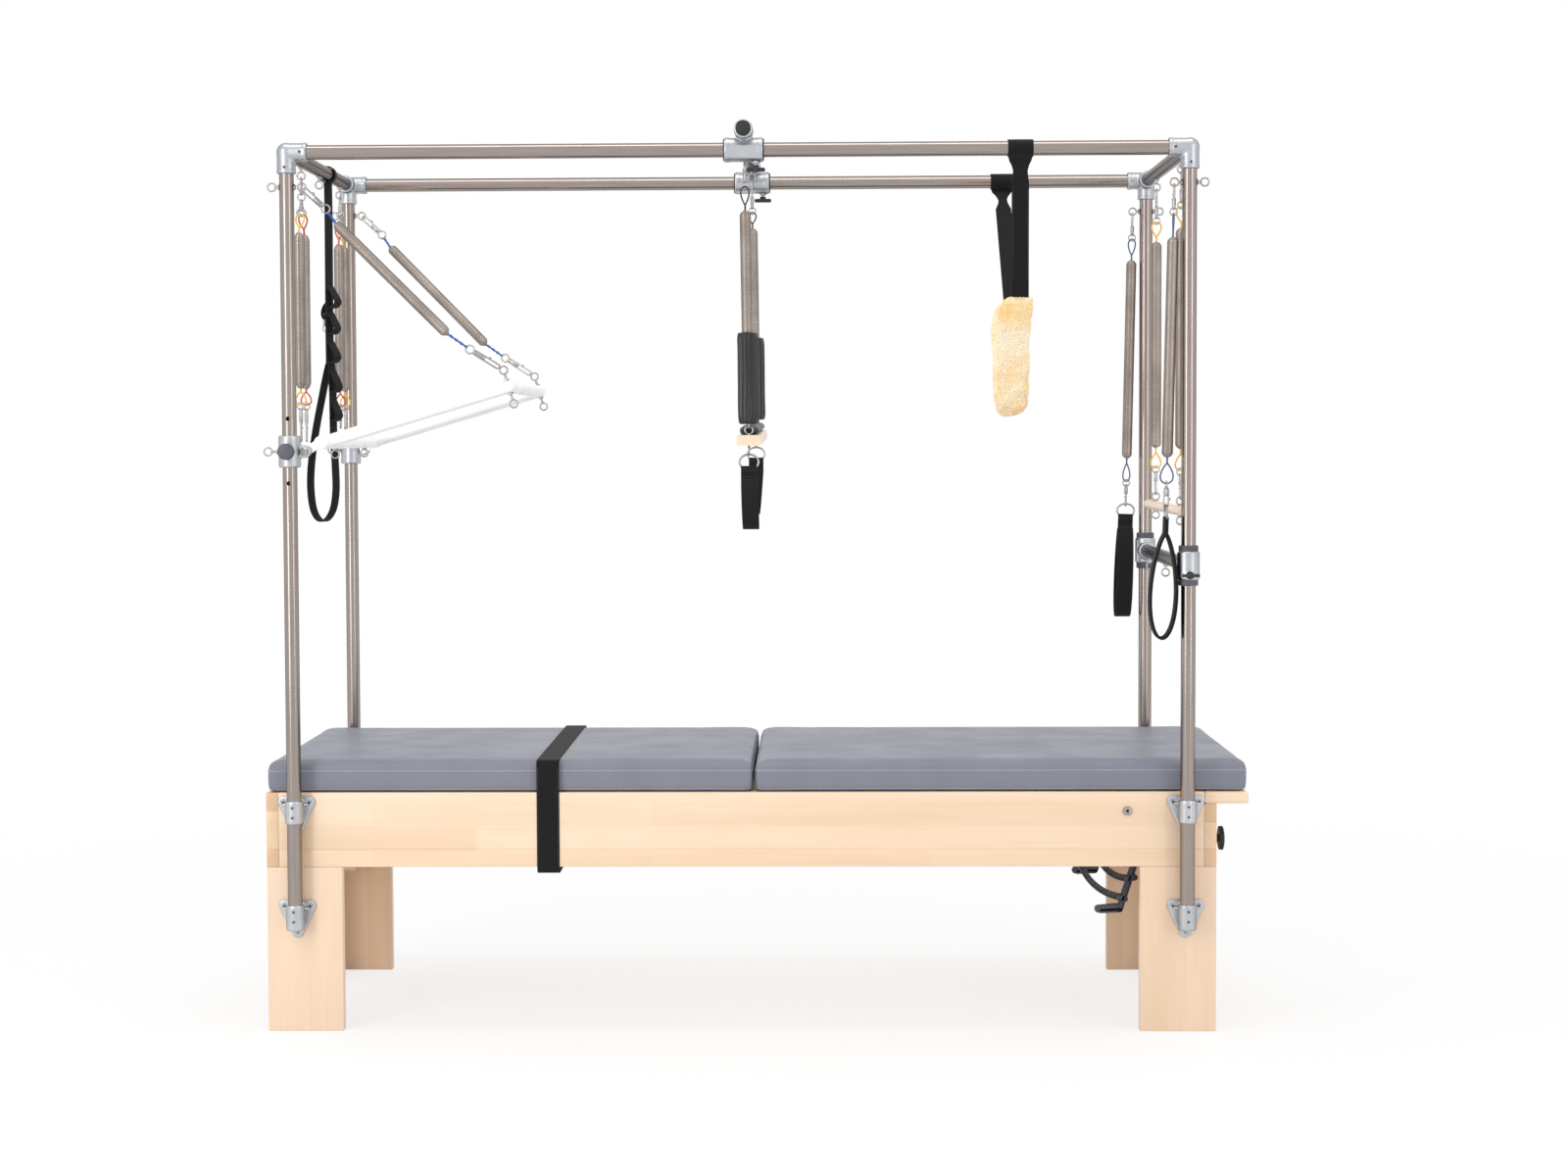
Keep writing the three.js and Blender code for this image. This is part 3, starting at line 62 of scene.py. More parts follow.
PAD_BOTTOM = FRAME_TOP + GAP
SIDES = (("front", -1), ("rear", 1))
ENDS = (("head", -1), ("foot", 1))
X, Y, Z = Vector((1, 0, 0)), Vector((0, 1, 0)), Vector((0, 0, 1))


def at(x, y, z):
    return Vector((x, y, z))


def metres(p):
    return Vector((p.x + ORIGIN_X, p.y, p.z)) * MM


# Camera: the photograph's own view
def place_camera():
    # Its place, its turn, its focal length in pixels and the middle of the picture come from a fit to the photo
    centre = metres(at(173.3, -6114.4, 1323.1))
    pitch, yaw, roll = (math.radians(a) for a in (2.604, 1.1217, -0.2261))
    focal, middle_x, middle_y, wide, high = 2675.44, 781.7, 565.2, 1600, 1200
    cp, sp, cy, sy = math.cos(pitch), math.sin(pitch), math.cos(yaw), math.sin(yaw)
    cr, sr = math.cos(roll), math.sin(roll)
    base = np.array([[1, 0, 0], [0, 0, -1], [0, 1, 0]])
    ry = np.array([[cy, 0, sy], [0, 1, 0], [-sy, 0, cy]])
    rx = np.array([[1, 0, 0], [0, cp, -sp], [0, sp, cp]])
    rz = np.array([[cr, -sr, 0], [sr, cr, 0], [0, 0, 1]])
    right, low, ahead = rz @ rx @ ry @ base
    turn = np.column_stack([right, -low, -ahead])
    camera = bpy.data.objects.new("camera", bpy.data.cameras.new("camera"))
    camera.matrix_world = Matrix.Translation(centre) @ Matrix(turn.tolist()).to_4x4()
    camera.data.sensor_width = 36
    camera.data.lens = focal * 36 / wide
    camera.data.shift_x = (wide / 2 - middle_x) / wide
    camera.data.shift_y = (middle_y - high / 2) / wide
    camera.data.clip_end = 60
    bpy.context.scene.collection.objects.link(camera)
    bpy.context.scene.camera = camera


place_camera()


# Materials
def linear(code):
    parts = [int(code[i : i + 2], 16) / 255 for i in (1, 3, 5)]
    return (*[c / 12.92 if c <= 0.04045 else ((c + 0.055) / 1.055) ** 2.4 for c in parts], 1)


def add(tree, kind, inputs=(), **settings):
    """Adds a node with its settings, values and links; a node given as a value links its first output."""
    made = tree.nodes.new(kind)
    for key, value in settings.items():
        setattr(made, key, value)
    for key, value in dict(inputs).items():
        if isinstance(value, bpy.types.Node):
            value = value.outputs[0]
        if isinstance(value, bpy.types.NodeSocket):
            tree.links.new(value, made.inputs[key])
        else:
            made.inputs[key].default_value = value
    return made


def start(name, colour, roughness, metallic=0.0, **sockets):
    """A new material: its tree, its shader and its Object coordinates."""
    material = bpy.data.materials.new(name)
    material.use_nodes = True
    tree = material.node_tree
    shader = tree.nodes["Principled BSDF"]
    shader.inputs["Base Color"].default_value = linear(colour)
    shader.inputs["Roughness"].default_value = roughness
    shader.inputs["Metallic"].default_value = metallic
    for key, value in sockets.items():
        shader.inputs[key.replace("_", " ")].default_value = value
    where = add(tree, "ShaderNodeTexCoord").outputs["Object"]
    return material, tree, shader, where


def dress(tree, shader, tone, colours, height, depth_mm, strength, rough=None):
    """Two colours mixed by a tone, a relief in the surface, and where given a roughness that follows the tone."""
    mixed = add(tree, "ShaderNodeMix", {0: tone, 6: linear(colours[0]), 7: linear(colours[1])}, data_type="RGBA")
    tree.links.new(mixed.outputs[2], shader.inputs["Base Color"])
    bump = add(tree, "ShaderNodeBump", {"Height": height, "Distance": depth_mm * MM, "Strength": strength})
    tree.links.new(bump.outputs[0], shader.inputs["Normal"])
    if rough:
        ramp = add(tree, "ShaderNodeMapRange", {0: tone, 3: rough[0], 4: rough[1]})
        tree.links.new(ramp.outputs[0], shader.inputs["Roughness"])


def maple(name, grain, light="#F1D8BE", dark="#E3C4A3"):
    # Hard maple, planed, glued up from strips about 55 mm wide and lacquered: pale, faint streaks, two tones.
    material, tree, shader, where = start(name, light, 0.4, Coat_Weight=0.25, Coat_Roughness=0.2)
    parts = add(tree, "ShaderNodeSeparateXYZ", {0: where}).outputs
    others = [k for k in range(3) if k != grain]
    across = add(tree, "ShaderNodeMath", {0: parts[others[0]], 1: parts[others[1]]}, operation="ADD")
    flat = add(tree, "ShaderNodeCombineXYZ", {0: parts[grain], 1: across})
    strips = add(
        tree, "ShaderNodeTexBrick",
        {"Vector": flat, "Color1": (0, 0, 0, 1), "Color2": (1, 1, 1, 1), "Scale": 1, "Mortar Size": 0,
         "Brick Width": 0.62, "Row Height": 0.055, "Bias": -0.1},
        offset=0.37,
    )
    stretch = [280, 280, 280]  # streaks about 3.5 mm wide
    stretch[grain] = 5  # and 200 mm long
    fine = add(tree, "ShaderNodeMapping", {"Vector": where, "Scale": stretch})
    streaks = add(tree, "ShaderNodeTexNoise", {"Vector": fine, "Scale": 1, "Detail": 5, "Roughness": 0.6})
    stretch = [22, 22, 22]
    stretch[grain] = 2
    broad = add(tree, "ShaderNodeMapping", {"Vector": where, "Scale": stretch})
    clouds = add(tree, "ShaderNodeTexNoise", {"Vector": broad, "Scale": 1, "Detail": 2})
    streak = add(tree, "ShaderNodeMapRange", {0: streaks, 1: 0.35, 2: 0.75, 4: 0.3})
    cloud = add(tree, "ShaderNodeMapRange", {0: clouds, 1: 0.3, 2: 0.8, 4: 0.4})
    strip = add(tree, "ShaderNodeMath", {0: strips, 1: 0.5, 2: streak}, operation="MULTIPLY_ADD")
    tone = add(tree, "ShaderNodeMath", {0: strip, 1: cloud}, operation="ADD", use_clamp=True)
    dress(tree, shader, tone, (light, dark), streaks, 0.15, 0.12)
    return material


# What a metal mirrors at its edges, where it turns away from the eye: darker than at its middle
EDGE = (0.4, 0.4, 0.4, 1)


def brushed(name, along, colour="#A89D97", dark="#978C86", roughness=0.17):
    # Stainless tube, drawn and brushed along its length: fine lines, warm grey.
    material, tree, shader, where = start(name, colour, roughness, 1.0, Specular_Tint=EDGE)
    stretch = [900, 900, 900]  # lines about 1.1 mm wide, coarser than a real brush's so that they show
    stretch[along] = 9
    fine = add(tree, "ShaderNodeMapping", {"Vector": where, "Scale": stretch})
    lines = add(tree, "ShaderNodeTexNoise", {"Vector": fine, "Scale": 1, "Detail": 3})
    tone = add(tree, "ShaderNodeMapRange", {0: lines, 1: 0.35, 2: 0.7})
    dress(tree, shader, tone, (colour, dark), lines, 0.01, 0.08, (roughness, roughness + 0.06))
    return material


def grained(name, colours, roughness, metallic, grain_mm, depth_mm, strength, **sockets):
    """A finish whose whole face has one fine grain, in two near tones."""
    material, tree, shader, where = start(name, colours[0], roughness, metallic, **sockets)
    grain = add(tree, "ShaderNodeTexNoise", {"Vector": where, "Scale": 1 / (grain_mm * MM), "Detail": 4})
    wear = add(tree, "ShaderNodeTexNoise", {"Vector": where, "Scale": 14, "Detail": 3})
    tone = add(tree, "ShaderNodeMapRange", {0: wear, 1: 0.35, 2: 0.7})
    dress(tree, shader, tone, colours, grain, depth_mm, strength, (roughness - 0.04, roughness + 0.08))
    return material


def pebbled(name, colours, roughness, cell_mm, depth_mm, strength, **sockets):
    """A skin of small rounded cells with faint creases, as on leather and on upholstery vinyl."""
    material, tree, shader, where = start(name, colours[0], roughness, **sockets)
    cells = add(tree, "ShaderNodeTexVoronoi", {"Vector": where, "Scale": 1 / (cell_mm * MM)}, feature="SMOOTH_F1")
    creases = add(tree, "ShaderNodeTexNoise", {"Vector": where, "Scale": 9, "Detail": 4})
    tone = add(tree, "ShaderNodeMapRange", {0: creases, 1: 0.35, 2: 0.7})
    height = add(tree, "ShaderNodeMath", {0: cells, 1: creases}, operation="ADD")
    dress(tree, shader, tone, colours, height, depth_mm, strength, (roughness - 0.03, roughness + 0.07))
    return material


def woven(name, colours, rib_mm):
    # Polypropylene webbing, woven flat: ribs across the band, threads along it. Its UV map is in metres.
    material, tree, shader, _ = start(name, colours[1], 0.85, Sheen_Weight=0.04, Specular_IOR_Level=0.3)
    flat = add(tree, "ShaderNodeUVMap", uv_map="weave")
    # A wave's scale of 1 is one band in 0.314 m
    ribs, threads = (
        add(tree, "ShaderNodeTexWave", {"Vector": flat, "Scale": 0.314 / (pitch * MM), "Distortion": 0.4},
            bands_direction=direction).outputs["Fac"]
        for direction, pitch in (("X", rib_mm), ("Y", rib_mm * 0.7))
    )
    # The colour follows the weave's relief: darker down in the grooves between ribs and threads and lighter on
    # their tops. This is painted shade.
    weave = add(tree, "ShaderNodeMath", {0: ribs, 1: threads}, operation="MULTIPLY")
    dress(tree, shader, weave, colours, weave, 0.5, 0.5)
    return material


MAPLE_X = maple("maple_strips_lengthwise", 0)
MAPLE_X_DARK = maple("maple_low_strip_lengthwise", 0, "#EED2B4", "#DDBB98")
MAPLE_Y = maple("maple_strips_crosswise", 1, "#EBCFB0", "#DFBD98")
MAPLE_Y_DARK = maple("maple_end_strip_crosswise", 1, "#E0BE9B", "#D3AC86")
MAPLE_Z = maple("maple_strips_upright", 2, "#ECD2B9", "#DDBE9E")
DOWEL = maple("maple_turned_dowel", 1, "#EED9C2", "#E2C6A8")
# Upholstery vinyl over foam: calendered, so it has a fine leather grain and a soft sheen.
VINYL = pebbled("upholstery_vinyl_grey", ("#7C7E8A", "#777985"), 0.42, 2.4, 0.12, 0.25)
# The same vinyl, drawn tight over a cord, but given a lighter grey than the pad: a painted highlight for the light
# that the piping catches.
PIPING_PAINTED_HIGHLIGHT = pebbled("upholstery_vinyl_piping", ("#9A9DA8", "#8F929E"), 0.35, 2.4, 0.05, 0.15)
BLACK_VINYL = pebbled("upholstery_vinyl_black", ("#201E22", "#18171A"), 0.45, 2.4, 0.15, 0.3)
# Bovine leather, dyed through and waxed: small cells and creases, worn greyer.
LEATHER = pebbled("leather_black", ("#1D1B1E", "#131114"), 0.28, 1.6, 0.2, 0.3)
WEBBING = woven("polypropylene_webbing_black", ("#0B0A0C", "#1D1A20"), 2.2)
# Sheepskin, combed: curly locks in cream and ochre.
FLEECE = grained("sheepskin_fleece", ("#FFF1D6", "#FFDCA0"), 0.92, 0.0, 3, 2, 0.6, Sheen_Weight=0.3)
STAINLESS_X = brushed("stainless_tube_lengthwise", 0)
STAINLESS_Y = brushed("stainless_tube_crosswise", 1)
STAINLESS_Z = brushed("stainless_tube_upright", 2)
# Aluminium, sand cast and tumbled: a dull grain with a few darker patches.
CAST = grained("aluminium_sand_cast", ("#C6C9CD", "#B4B8BD"), 0.34, 1.0, 1.4, 0.04, 0.08, Specular_Tint=EDGE)
# Aluminium, extruded and clear anodised: nearly white, satin.
ANODISED = grained("aluminium_clear_anodised", ("#FDFDFE", "#F7F7F9"), 0.55, 0.35, 0.8, 0.01, 0.03)
# Spring steel, cold drawn and nickel plated: warm mid grey with a soft shine.
SPRING_STEEL = grained("spring_steel_wire", ("#A99E96", "#968B83"), 0.34, 1.0, 1.0, 0.01, 0.05, Specular_Tint=EDGE)
# Steel, turned or bent and zinc plated: light grey, polished and slightly uneven.
ZINC = grained("steel_zinc_plated", ("#BAB6B4", "#A29E9C"), 0.18, 1.0, 1.0, 0.02, 0.2, Specular_Tint=EDGE)
# Moulded nylon: a spark-eroded grain and a soft gloss.
BLACK_PLASTIC = grained("nylon_moulded_black", ("#27272B", "#1C1C1F"), 0.42, 0.0, 0.9, 0.06, 0.3)
GREY_PLASTIC = grained("nylon_moulded_grey", ("#5B5963", "#4A4852"), 0.45, 0.0, 0.9, 0.06, 0.3)
# Cast aluminium under powder coat: dark slate grey, satin.
SLATE_COAT = grained("powder_coat_slate_grey", ("#44444E", "#393942"), 0.38, 0.0, 0.9, 0.04, 0.2)
# Wire rope in a coloured PVC coat: smooth and a little glossy.
BLUE, STEEL_BLUE, YELLOW, RED, BLACK_COAT = (
    grained(f"pvc_coat_{name}", colours, 0.35, 0.0, 1.2, 0.05, 0.2)
    for name, colours in (
        ("blue", ("#1F5FAF", "#174A8E")), ("steel_blue", ("#4B5F7A", "#3E5069")),
        ("yellow", ("#EDBB2A", "#D9A41C")), ("red", ("#C24A2C", "#A83A22")), ("black", ("#28292E", "#1C1D21")),
    )
)
# Painted shade: dull, nearly black discs in the sockets of the cap screws and in the bolt covers' recesses,
# standing for the dark inside each recess.
SOCKET_PAINTED_SHADE = grained("steel_black_oxide", ("#2C2B2D", "#201F21"), 0.5, 0.6, 0.8, 0.02, 0.2)
# Bonded polyester thread: a soft grey twist.
THREAD = grained("polyester_thread_grey", ("#55535A", "#3A383C"), 0.7, 0.0, 0.4, 0.05, 0.4)

# The part's slot for each material that a plain piece or a casting has
SLOTS = {
    look.name: slot
    for slot, looks in (
        ("maple", (MAPLE_X, MAPLE_X_DARK, MAPLE_Y, MAPLE_Y_DARK, MAPLE_Z, DOWEL)),
        ("stainless", (STAINLESS_X, STAINLESS_Y, STAINLESS_Z)), ("cast_aluminium", (CAST,)),
        ("bright_aluminium", (ANODISED,)), ("plated_wire", (ZINC, STEEL_BLUE, YELLOW, RED, BLACK_COAT)),
        ("black_plastic", (BLACK_PLASTIC, SLATE_COAT, SOCKET_PAINTED_SHADE)), ("grey_plastic", (GREY_PLASTIC,)),
        ("webbing", (WEBBING,)), ("pad_vinyl", (PIPING_PAINTED_HIGHLIGHT,)), ("spring_wire", (BLUE,)),
    )
    for look in looks
}


# Shapes. A shell is its points, its faces and, for a band, its UV places.
def circle(radius, sides):
    angles = [2 * math.pi * k / sides for k in range(sides)]
    return [(radius * math.cos(angle), radius * math.sin(angle)) for angle in angles]


def skin(rows, sides):
    """Faces between each two neighbours of a number of closed rows of points."""
    faces = []
    for i in range(rows - 1):
        for k in range(sides):
            m = (k + 1) % sides
            faces.append((i * sides + k, i * sides + m, (i + 1) * sides + m, (i + 1) * sides + k))
    return faces


def ends_of(rows, sides):
    return [tuple(range(sides)), tuple((rows - 1) * sides + k for k in range(sides))]


def resampled(outline, pitch):
    """A closed outline with points at about a pitch in millimetres."""
    dense = []
    for i, p in enumerate(outline):
        after = outline[(i + 1) % len(outline)]
        steps = max(1, int((after - p).length / pitch))
        dense += [p.lerp(after, k / steps) for k in range(steps)]
    return dense


def band_section(thick, width, edge=0.9, steps=3):
    edge = min(edge, thick * 0.499)
    points = []
    for quarter, (a, b) in enumerate(((1, 1), (-1, 1), (-1, -1), (1, -1))):
        ca, cb = a * (thick / 2 - edge), b * (width / 2 - edge)
        for k in range(steps + 1):
            angle = math.pi / 2 * (quarter + k / steps)
            points.append((ca + edge * math.cos(angle), cb + edge * math.sin(angle)))
    return points


def smooth_path(points, steps, closed=False):
    """A curve through points, with a number of steps between each two."""
    count = len(points)
    path = []
    for i in range(count if closed else count - 1):
        if closed:
            p = [points[(i + k - 1) % count] for k in range(4)]
        else:
            p = [points[min(max(i + k - 1, 0), count - 1)] for k in range(4)]
        for s in range(steps):
            t = s / steps
            path.append(
                0.5 * (2 * p[1] + (p[2] - p[0]) * t + (2 * p[0] - 5 * p[1] + 4 * p[2] - p[3]) * t * t
                       + (3 * p[1] - p[0] - 3 * p[2] + p[3]) * t ** 3)
            )
    return path if closed else [*path, points[-1]]


def sweep(points, section, closed=False, across=None):
    """A wire, bar or band whose section follows points. The section's second number lies along `across`."""
    count = len(points)
    section_at = section if callable(section) else lambda i: section
    n = len(section_at(0))
    verts, faces, uvs, spoke, run = [], [], [], None, [0]
    for i, p in enumerate(points):
        before = points[i - 1] if closed or i else p
        after = points[(i + 1) % count] if closed or i + 1 < count else p
        tangent = (after - before).normalized()
        guide = across if across is not None else spoke or tangent.orthogonal()
        side = (guide - tangent * guide.dot(tangent)).normalized()
        spoke = side
        normal = side.cross(tangent)
        verts += [p + normal * a + side * b for a, b in section_at(i)]
        run.append(run[-1] + (points[(i + 1) % count] - p).length)
    outline = [Vector(s) for s in section_at(0)]
    rim = [0]
    for k in range(n):
        rim.append(rim[-1] + (outline[(k + 1) % n] - outline[k]).length)
    for i in range(count if closed else count - 1):
        j = (i + 1) % count
        for k in range(n):
            m = (k + 1) % n
            faces.append((i * n + k, j * n + k, j * n + m, i * n + m))
            uvs.append([(run[i], rim[k]), (run[i + 1], rim[k]), (run[i + 1], rim[k + 1]), (run[i], rim[k + 1])])
    if not closed:
        for cap in ends_of(count, n):
            faces.append(cap)
            uvs.append([tuple(outline[k % n]) for k in cap])
    return verts, faces, uvs


def wire(points, radius, closed=False, sides=10):
    return sweep(points, circle(radius, sides), closed)


def lathe(profile, origin, direction, sides=40, ring=False):
    """A turned shape: [radius, distance] pairs along a direction."""
    direction = direction.normalized()
    u = direction.orthogonal().normalized()
    w = direction.cross(u)
    verts, faces, rows = [], [], []
    for radius, along in profile:
        centre = origin + direction * along
        size = 1 if radius < 1e-6 else sides
        rows.append([len(verts) + k for k in range(size)])
        verts += [centre + (u * a + w * b if size > 1 else u * 0) for a, b in circle(radius, size)]
    for a, b in zip(rows, rows[1:] + (rows[:1] if ring else [])):
        for k in range(sides):
            m = (k + 1) % sides
            if len(a) == 1:
                faces.append((a[0], b[m], b[k]))
            elif len(b) == 1:
                faces.append((a[k], a[m], b[0]))
            else:
                faces.append((a[k], a[m], b[m], b[k]))
    return verts, faces, None


def rod(a, b, radius, edge=0.8, sides=40):
    reach = (b - a).length
    return lathe(
        [(0, 0), (radius - edge, 0), (radius, edge), (radius, reach - edge), (radius - edge, reach), (0, reach)],
        a, b - a, sides,
    )


def span(centre, way, start, end, radius, edge=0.8, sides=40):
    """A rod on a line through a point, between two distances along it."""
    return rod(centre + way * start, centre + way * end, radius, edge, sides)


def ring(centre, normal, radius, thickness, steps=36, sides=12):
    u = normal.orthogonal().normalized()
    w = normal.normalized().cross(u)
    return wire([centre + u * a + w * b for a, b in circle(radius, steps)], thickness, True, sides)


def from_bmesh(bm):
    verts = [v.co.copy() for v in bm.verts]
    bm.verts.index_update()
    faces = [tuple(v.index for v in f.verts) for f in bm.faces]
    bm.free()
    return verts, faces, None


def ball(centre, radius):
    bm = bmesh.new()
    bmesh.ops.create_uvsphere(bm, u_segments=32, v_segments=20, radius=radius)
    bmesh.ops.translate(bm, verts=bm.verts[:], vec=centre)
    return from_bmesh(bm)


def slab(x0, x1, y0, y1, z0, z1, edge=1.5):
    """A board with eased edges."""
    bm = bmesh.new()
    size = Matrix.Diagonal((x1 - x0, y1 - y0, z1 - z0, 1))
    middle = Matrix.Translation(((x0 + x1) / 2, (y0 + y1) / 2, (z0 + z1) / 2))
    bmesh.ops.create_cube(bm, size=1, matrix=middle @ size)
    bmesh.ops.bevel(bm, geom=bm.edges[:], offset=edge, segments=3, profile=0.5, affect="EDGES")
    return from_bmesh(bm)


def plate(outline, y0, y1, edge=1.2):
    """A flat plate whose outline lies in the XZ plane, with eased rims."""
    bm = bmesh.new()
    face = bm.faces.new([bm.verts.new((x, y0, z)) for x, z in outline])
    side = bmesh.ops.extrude_face_region(bm, geom=[face])
    moved = [v for v in side["geom"] if isinstance(v, bmesh.types.BMVert)]
    bmesh.ops.translate(bm, verts=moved, vec=(0, y1 - y0, 0))
    bmesh.ops.recalc_face_normals(bm, faces=bm.faces[:])
    rims = [e for e in bm.edges if abs(e.verts[0].co.y - e.verts[1].co.y) < 1e-6]
    if edge:
        bmesh.ops.bevel(bm, geom=rims, offset=edge, segments=2, profile=0.5, affect="EDGES")
    return from_bmesh(bm)


def hull_outline(centres, radius, steps=8):
    """The outline round equal circles, listed counter-clockwise."""
    points = []
    for i, (x, z) in enumerate(centres):
        px, pz = centres[i - 1]
        nx, nz = centres[(i + 1) % len(centres)]
        first = math.atan2(z - pz, x - px) - math.pi / 2
        turn = (math.atan2(nz - z, nx - x) - math.pi / 2 - first) % (2 * math.pi)
        for k in range(steps + 1):
            angle = first + turn * k / steps
            points.append((x + radius * math.cos(angle), z + radius * math.sin(angle)))
    return points


def linked(name, data):
    obj = bpy.data.objects.new(name, data)
    bpy.context.scene.collection.objects.link(obj)
    return obj


def raw(name, shells):
    """Shells in millimetres as one object in metres, all faces pointing out."""
    verts, faces, uvs, banded = [], [], [], False
    for points, polygons, places in shells:
        base = len(verts)
        verts += [metres(p) for p in points]
        faces += [tuple(base + k for k in f) for f in polygons]
        banded = banded or places is not None
        uvs += places if places is not None else [[(0, 0)] * len(f) for f in polygons]
    mesh = bpy.data.meshes.new(name)
    mesh.from_pydata(verts, [], faces)
    if banded:
        flat = [(u * MM, v * MM) for face in uvs for u, v in face]
        layer = mesh.uv_layers.new(name="weave")
        layer.data.foreach_set("uv", [c for uv in flat for c in uv])
    bm = bmesh.new()
    bm.from_mesh(mesh)
    bmesh.ops.recalc_face_normals(bm, faces=bm.faces[:])
    bm.to_mesh(mesh)
    bm.free()
    return linked(name, mesh)


def settle(obj, look=None, sharp=38):
    """Replaces an object by its finished plain mesh, with its shading and its material."""
    if obj.modifiers:
        bpy.context.view_layer.update()
        graph = bpy.context.evaluated_depsgraph_get()
        mesh = bpy.data.meshes.new_from_object(obj.evaluated_get(graph))
        obj.modifiers.clear()
        obj.data = mesh
    mesh = obj.data
    mesh.shade_smooth()
    mesh.set_sharp_from_angle(angle=math.radians(sharp))
    if look is not None:
        mesh.materials.clear()
        mesh.materials.append(look)
    return obj


def seat(obj, body, slot, replaces=()):
    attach(obj, body)
    if replaces:
        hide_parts(*replaces)
    return obj


def piece(name, body, look, shells, replaces=(), slot=None):
    return seat(settle(raw(name, shells), look), body, slot or SLOTS[look.name], replaces)


def cast(name, body, look, shells, bores=(), voxel=2.0, rounds=5, replaces=()):
    """A casting: shells melted into one skin with soft inner corners, then bored."""
    obj = raw(name, shells)
    if voxel:
        melt = obj.modifiers.new("melt", "REMESH")
        melt.mode, melt.voxel_size = "VOXEL", voxel * MM
        ease = obj.modifiers.new("ease", "SMOOTH")
        ease.factor, ease.iterations = 0.5, rounds
        settle(obj, look)
    cutters = []
    for k, bore in enumerate(bores):
        cutter = raw(f"{name}_cutter_{k}", [bore])
        cutters.append(cutter)
        cut = obj.modifiers.new("bore", "BOOLEAN")
        cut.operation, cut.solver, cut.object = "DIFFERENCE", "EXACT", cutter
    settle(obj, look)
    for cutter in cutters:
        bpy.data.objects.remove(cutter)
    return seat(obj, body, SLOTS[look.name], replaces)


# Geometry Nodes: wound wire, rows of stitches and scattered fixings
def new_tree(name, inputs):
    tree = bpy.data.node_groups.new(name, "GeometryNodeTree")
    tree.interface.new_socket("Geometry", in_out="OUTPUT", socket_type="NodeSocketGeometry")
    for label, kind in inputs.items():
        tree.interface.new_socket(label, in_out="INPUT", socket_type=f"NodeSocket{kind}")
    return tree, add(tree, "NodeGroupInput").outputs, add(tree, "NodeGroupOutput").inputs


def finish_tree(tree, result, look, last):
    real = add(tree, "GeometryNodeRealizeInstances", {0: result})
    shown = add(tree, "GeometryNodeSetMaterial", {"Geometry": real.outputs[0], "Material": look})
    tree.links.new(shown.outputs[0], last[0])
    return tree


def wound_tree():
    """A wound spring along +Z: its curls tighten to the axis over some turns at both ends."""
    tree, given, last = new_tree("wound_wire", {
        "Geometry": "Geometry", "Length": "Float", "Radius": "Float", "Wire": "Float", "Turns": "Float",
        "Drawn Turns": "Float", "Material": "Material",
    })
    kind = "ShaderNodeMath"
    spiral = add(tree, "GeometryNodeCurveSpiral", {
        "Resolution": 14, "Rotations": given["Turns"], "Start Radius": 1.0, "End Radius": 1.0, "Height": 1.0,
    })
    place = add(tree, "ShaderNodeSeparateXYZ", {0: add(tree, "GeometryNodeInputPosition")}).outputs
    other_end = add(tree, kind, {0: 1.0, 1: place[2]}, operation="SUBTRACT")
    nearest = add(tree, kind, {0: place[2], 1: other_end}, operation="MINIMUM")
    turns_in = add(tree, kind, {0: nearest, 1: given["Turns"]}, operation="MULTIPLY")
    drawn = add(tree, kind, {0: turns_in, 1: given["Drawn Turns"]}, operation="DIVIDE")
    capped = add(tree, kind, {0: drawn, 1: 1.0}, operation="MINIMUM")
    share = add(tree, kind, {0: capped, 1: 0.55}, operation="POWER")
    opened = add(tree, kind, {0: share, 1: 0.8, 2: 0.2}, operation="MULTIPLY_ADD")
    mean = add(tree, kind, {0: given["Radius"], 1: given["Wire"]}, operation="SUBTRACT")
    reach = add(tree, kind, {0: opened, 1: mean}, operation="MULTIPLY")
    sizes = enumerate((reach, reach, given["Length"]))
    x, y, z = (add(tree, kind, {0: place[k], 1: size}, operation="MULTIPLY") for k, size in sizes)
    moved = add(tree, "ShaderNodeCombineXYZ", {0: x, 1: y, 2: z})
    path = add(tree, "GeometryNodeSetPosition", {"Geometry": spiral, "Position": moved})
    profile = add(tree, "GeometryNodeCurvePrimitiveCircle", {"Resolution": 7, "Radius": given["Wire"]})
    solid = add(tree, "GeometryNodeCurveToMesh", {"Curve": path, "Profile Curve": profile, "Fill Caps": True})
    return finish_tree(tree, solid, given["Material"], last)


def fixings_tree():
    """One object on each point of a mesh, its +Z along the point's own direction."""
    tree, given, last = new_tree("fixings", {
        "Geometry": "Geometry", "Fixing": "Object", "Material": "Material",
    })
    fixing = add(tree, "GeometryNodeObjectInfo", {"Object": given["Fixing"]})
    facing = add(tree, "GeometryNodeInputNamedAttribute", {"Name": "facing"}, data_type="FLOAT_VECTOR")
    turned = add(tree, "FunctionNodeAlignRotationToVector", {"Vector": facing.outputs[0]}, axis="Z")
    laid = add(tree, "GeometryNodeInstanceOnPoints", {
        "Points": given["Geometry"], "Instance": fixing.outputs["Geometry"], "Rotation": turned.outputs[0],
    })
    return finish_tree(tree, laid.outputs[0], given["Material"], last)


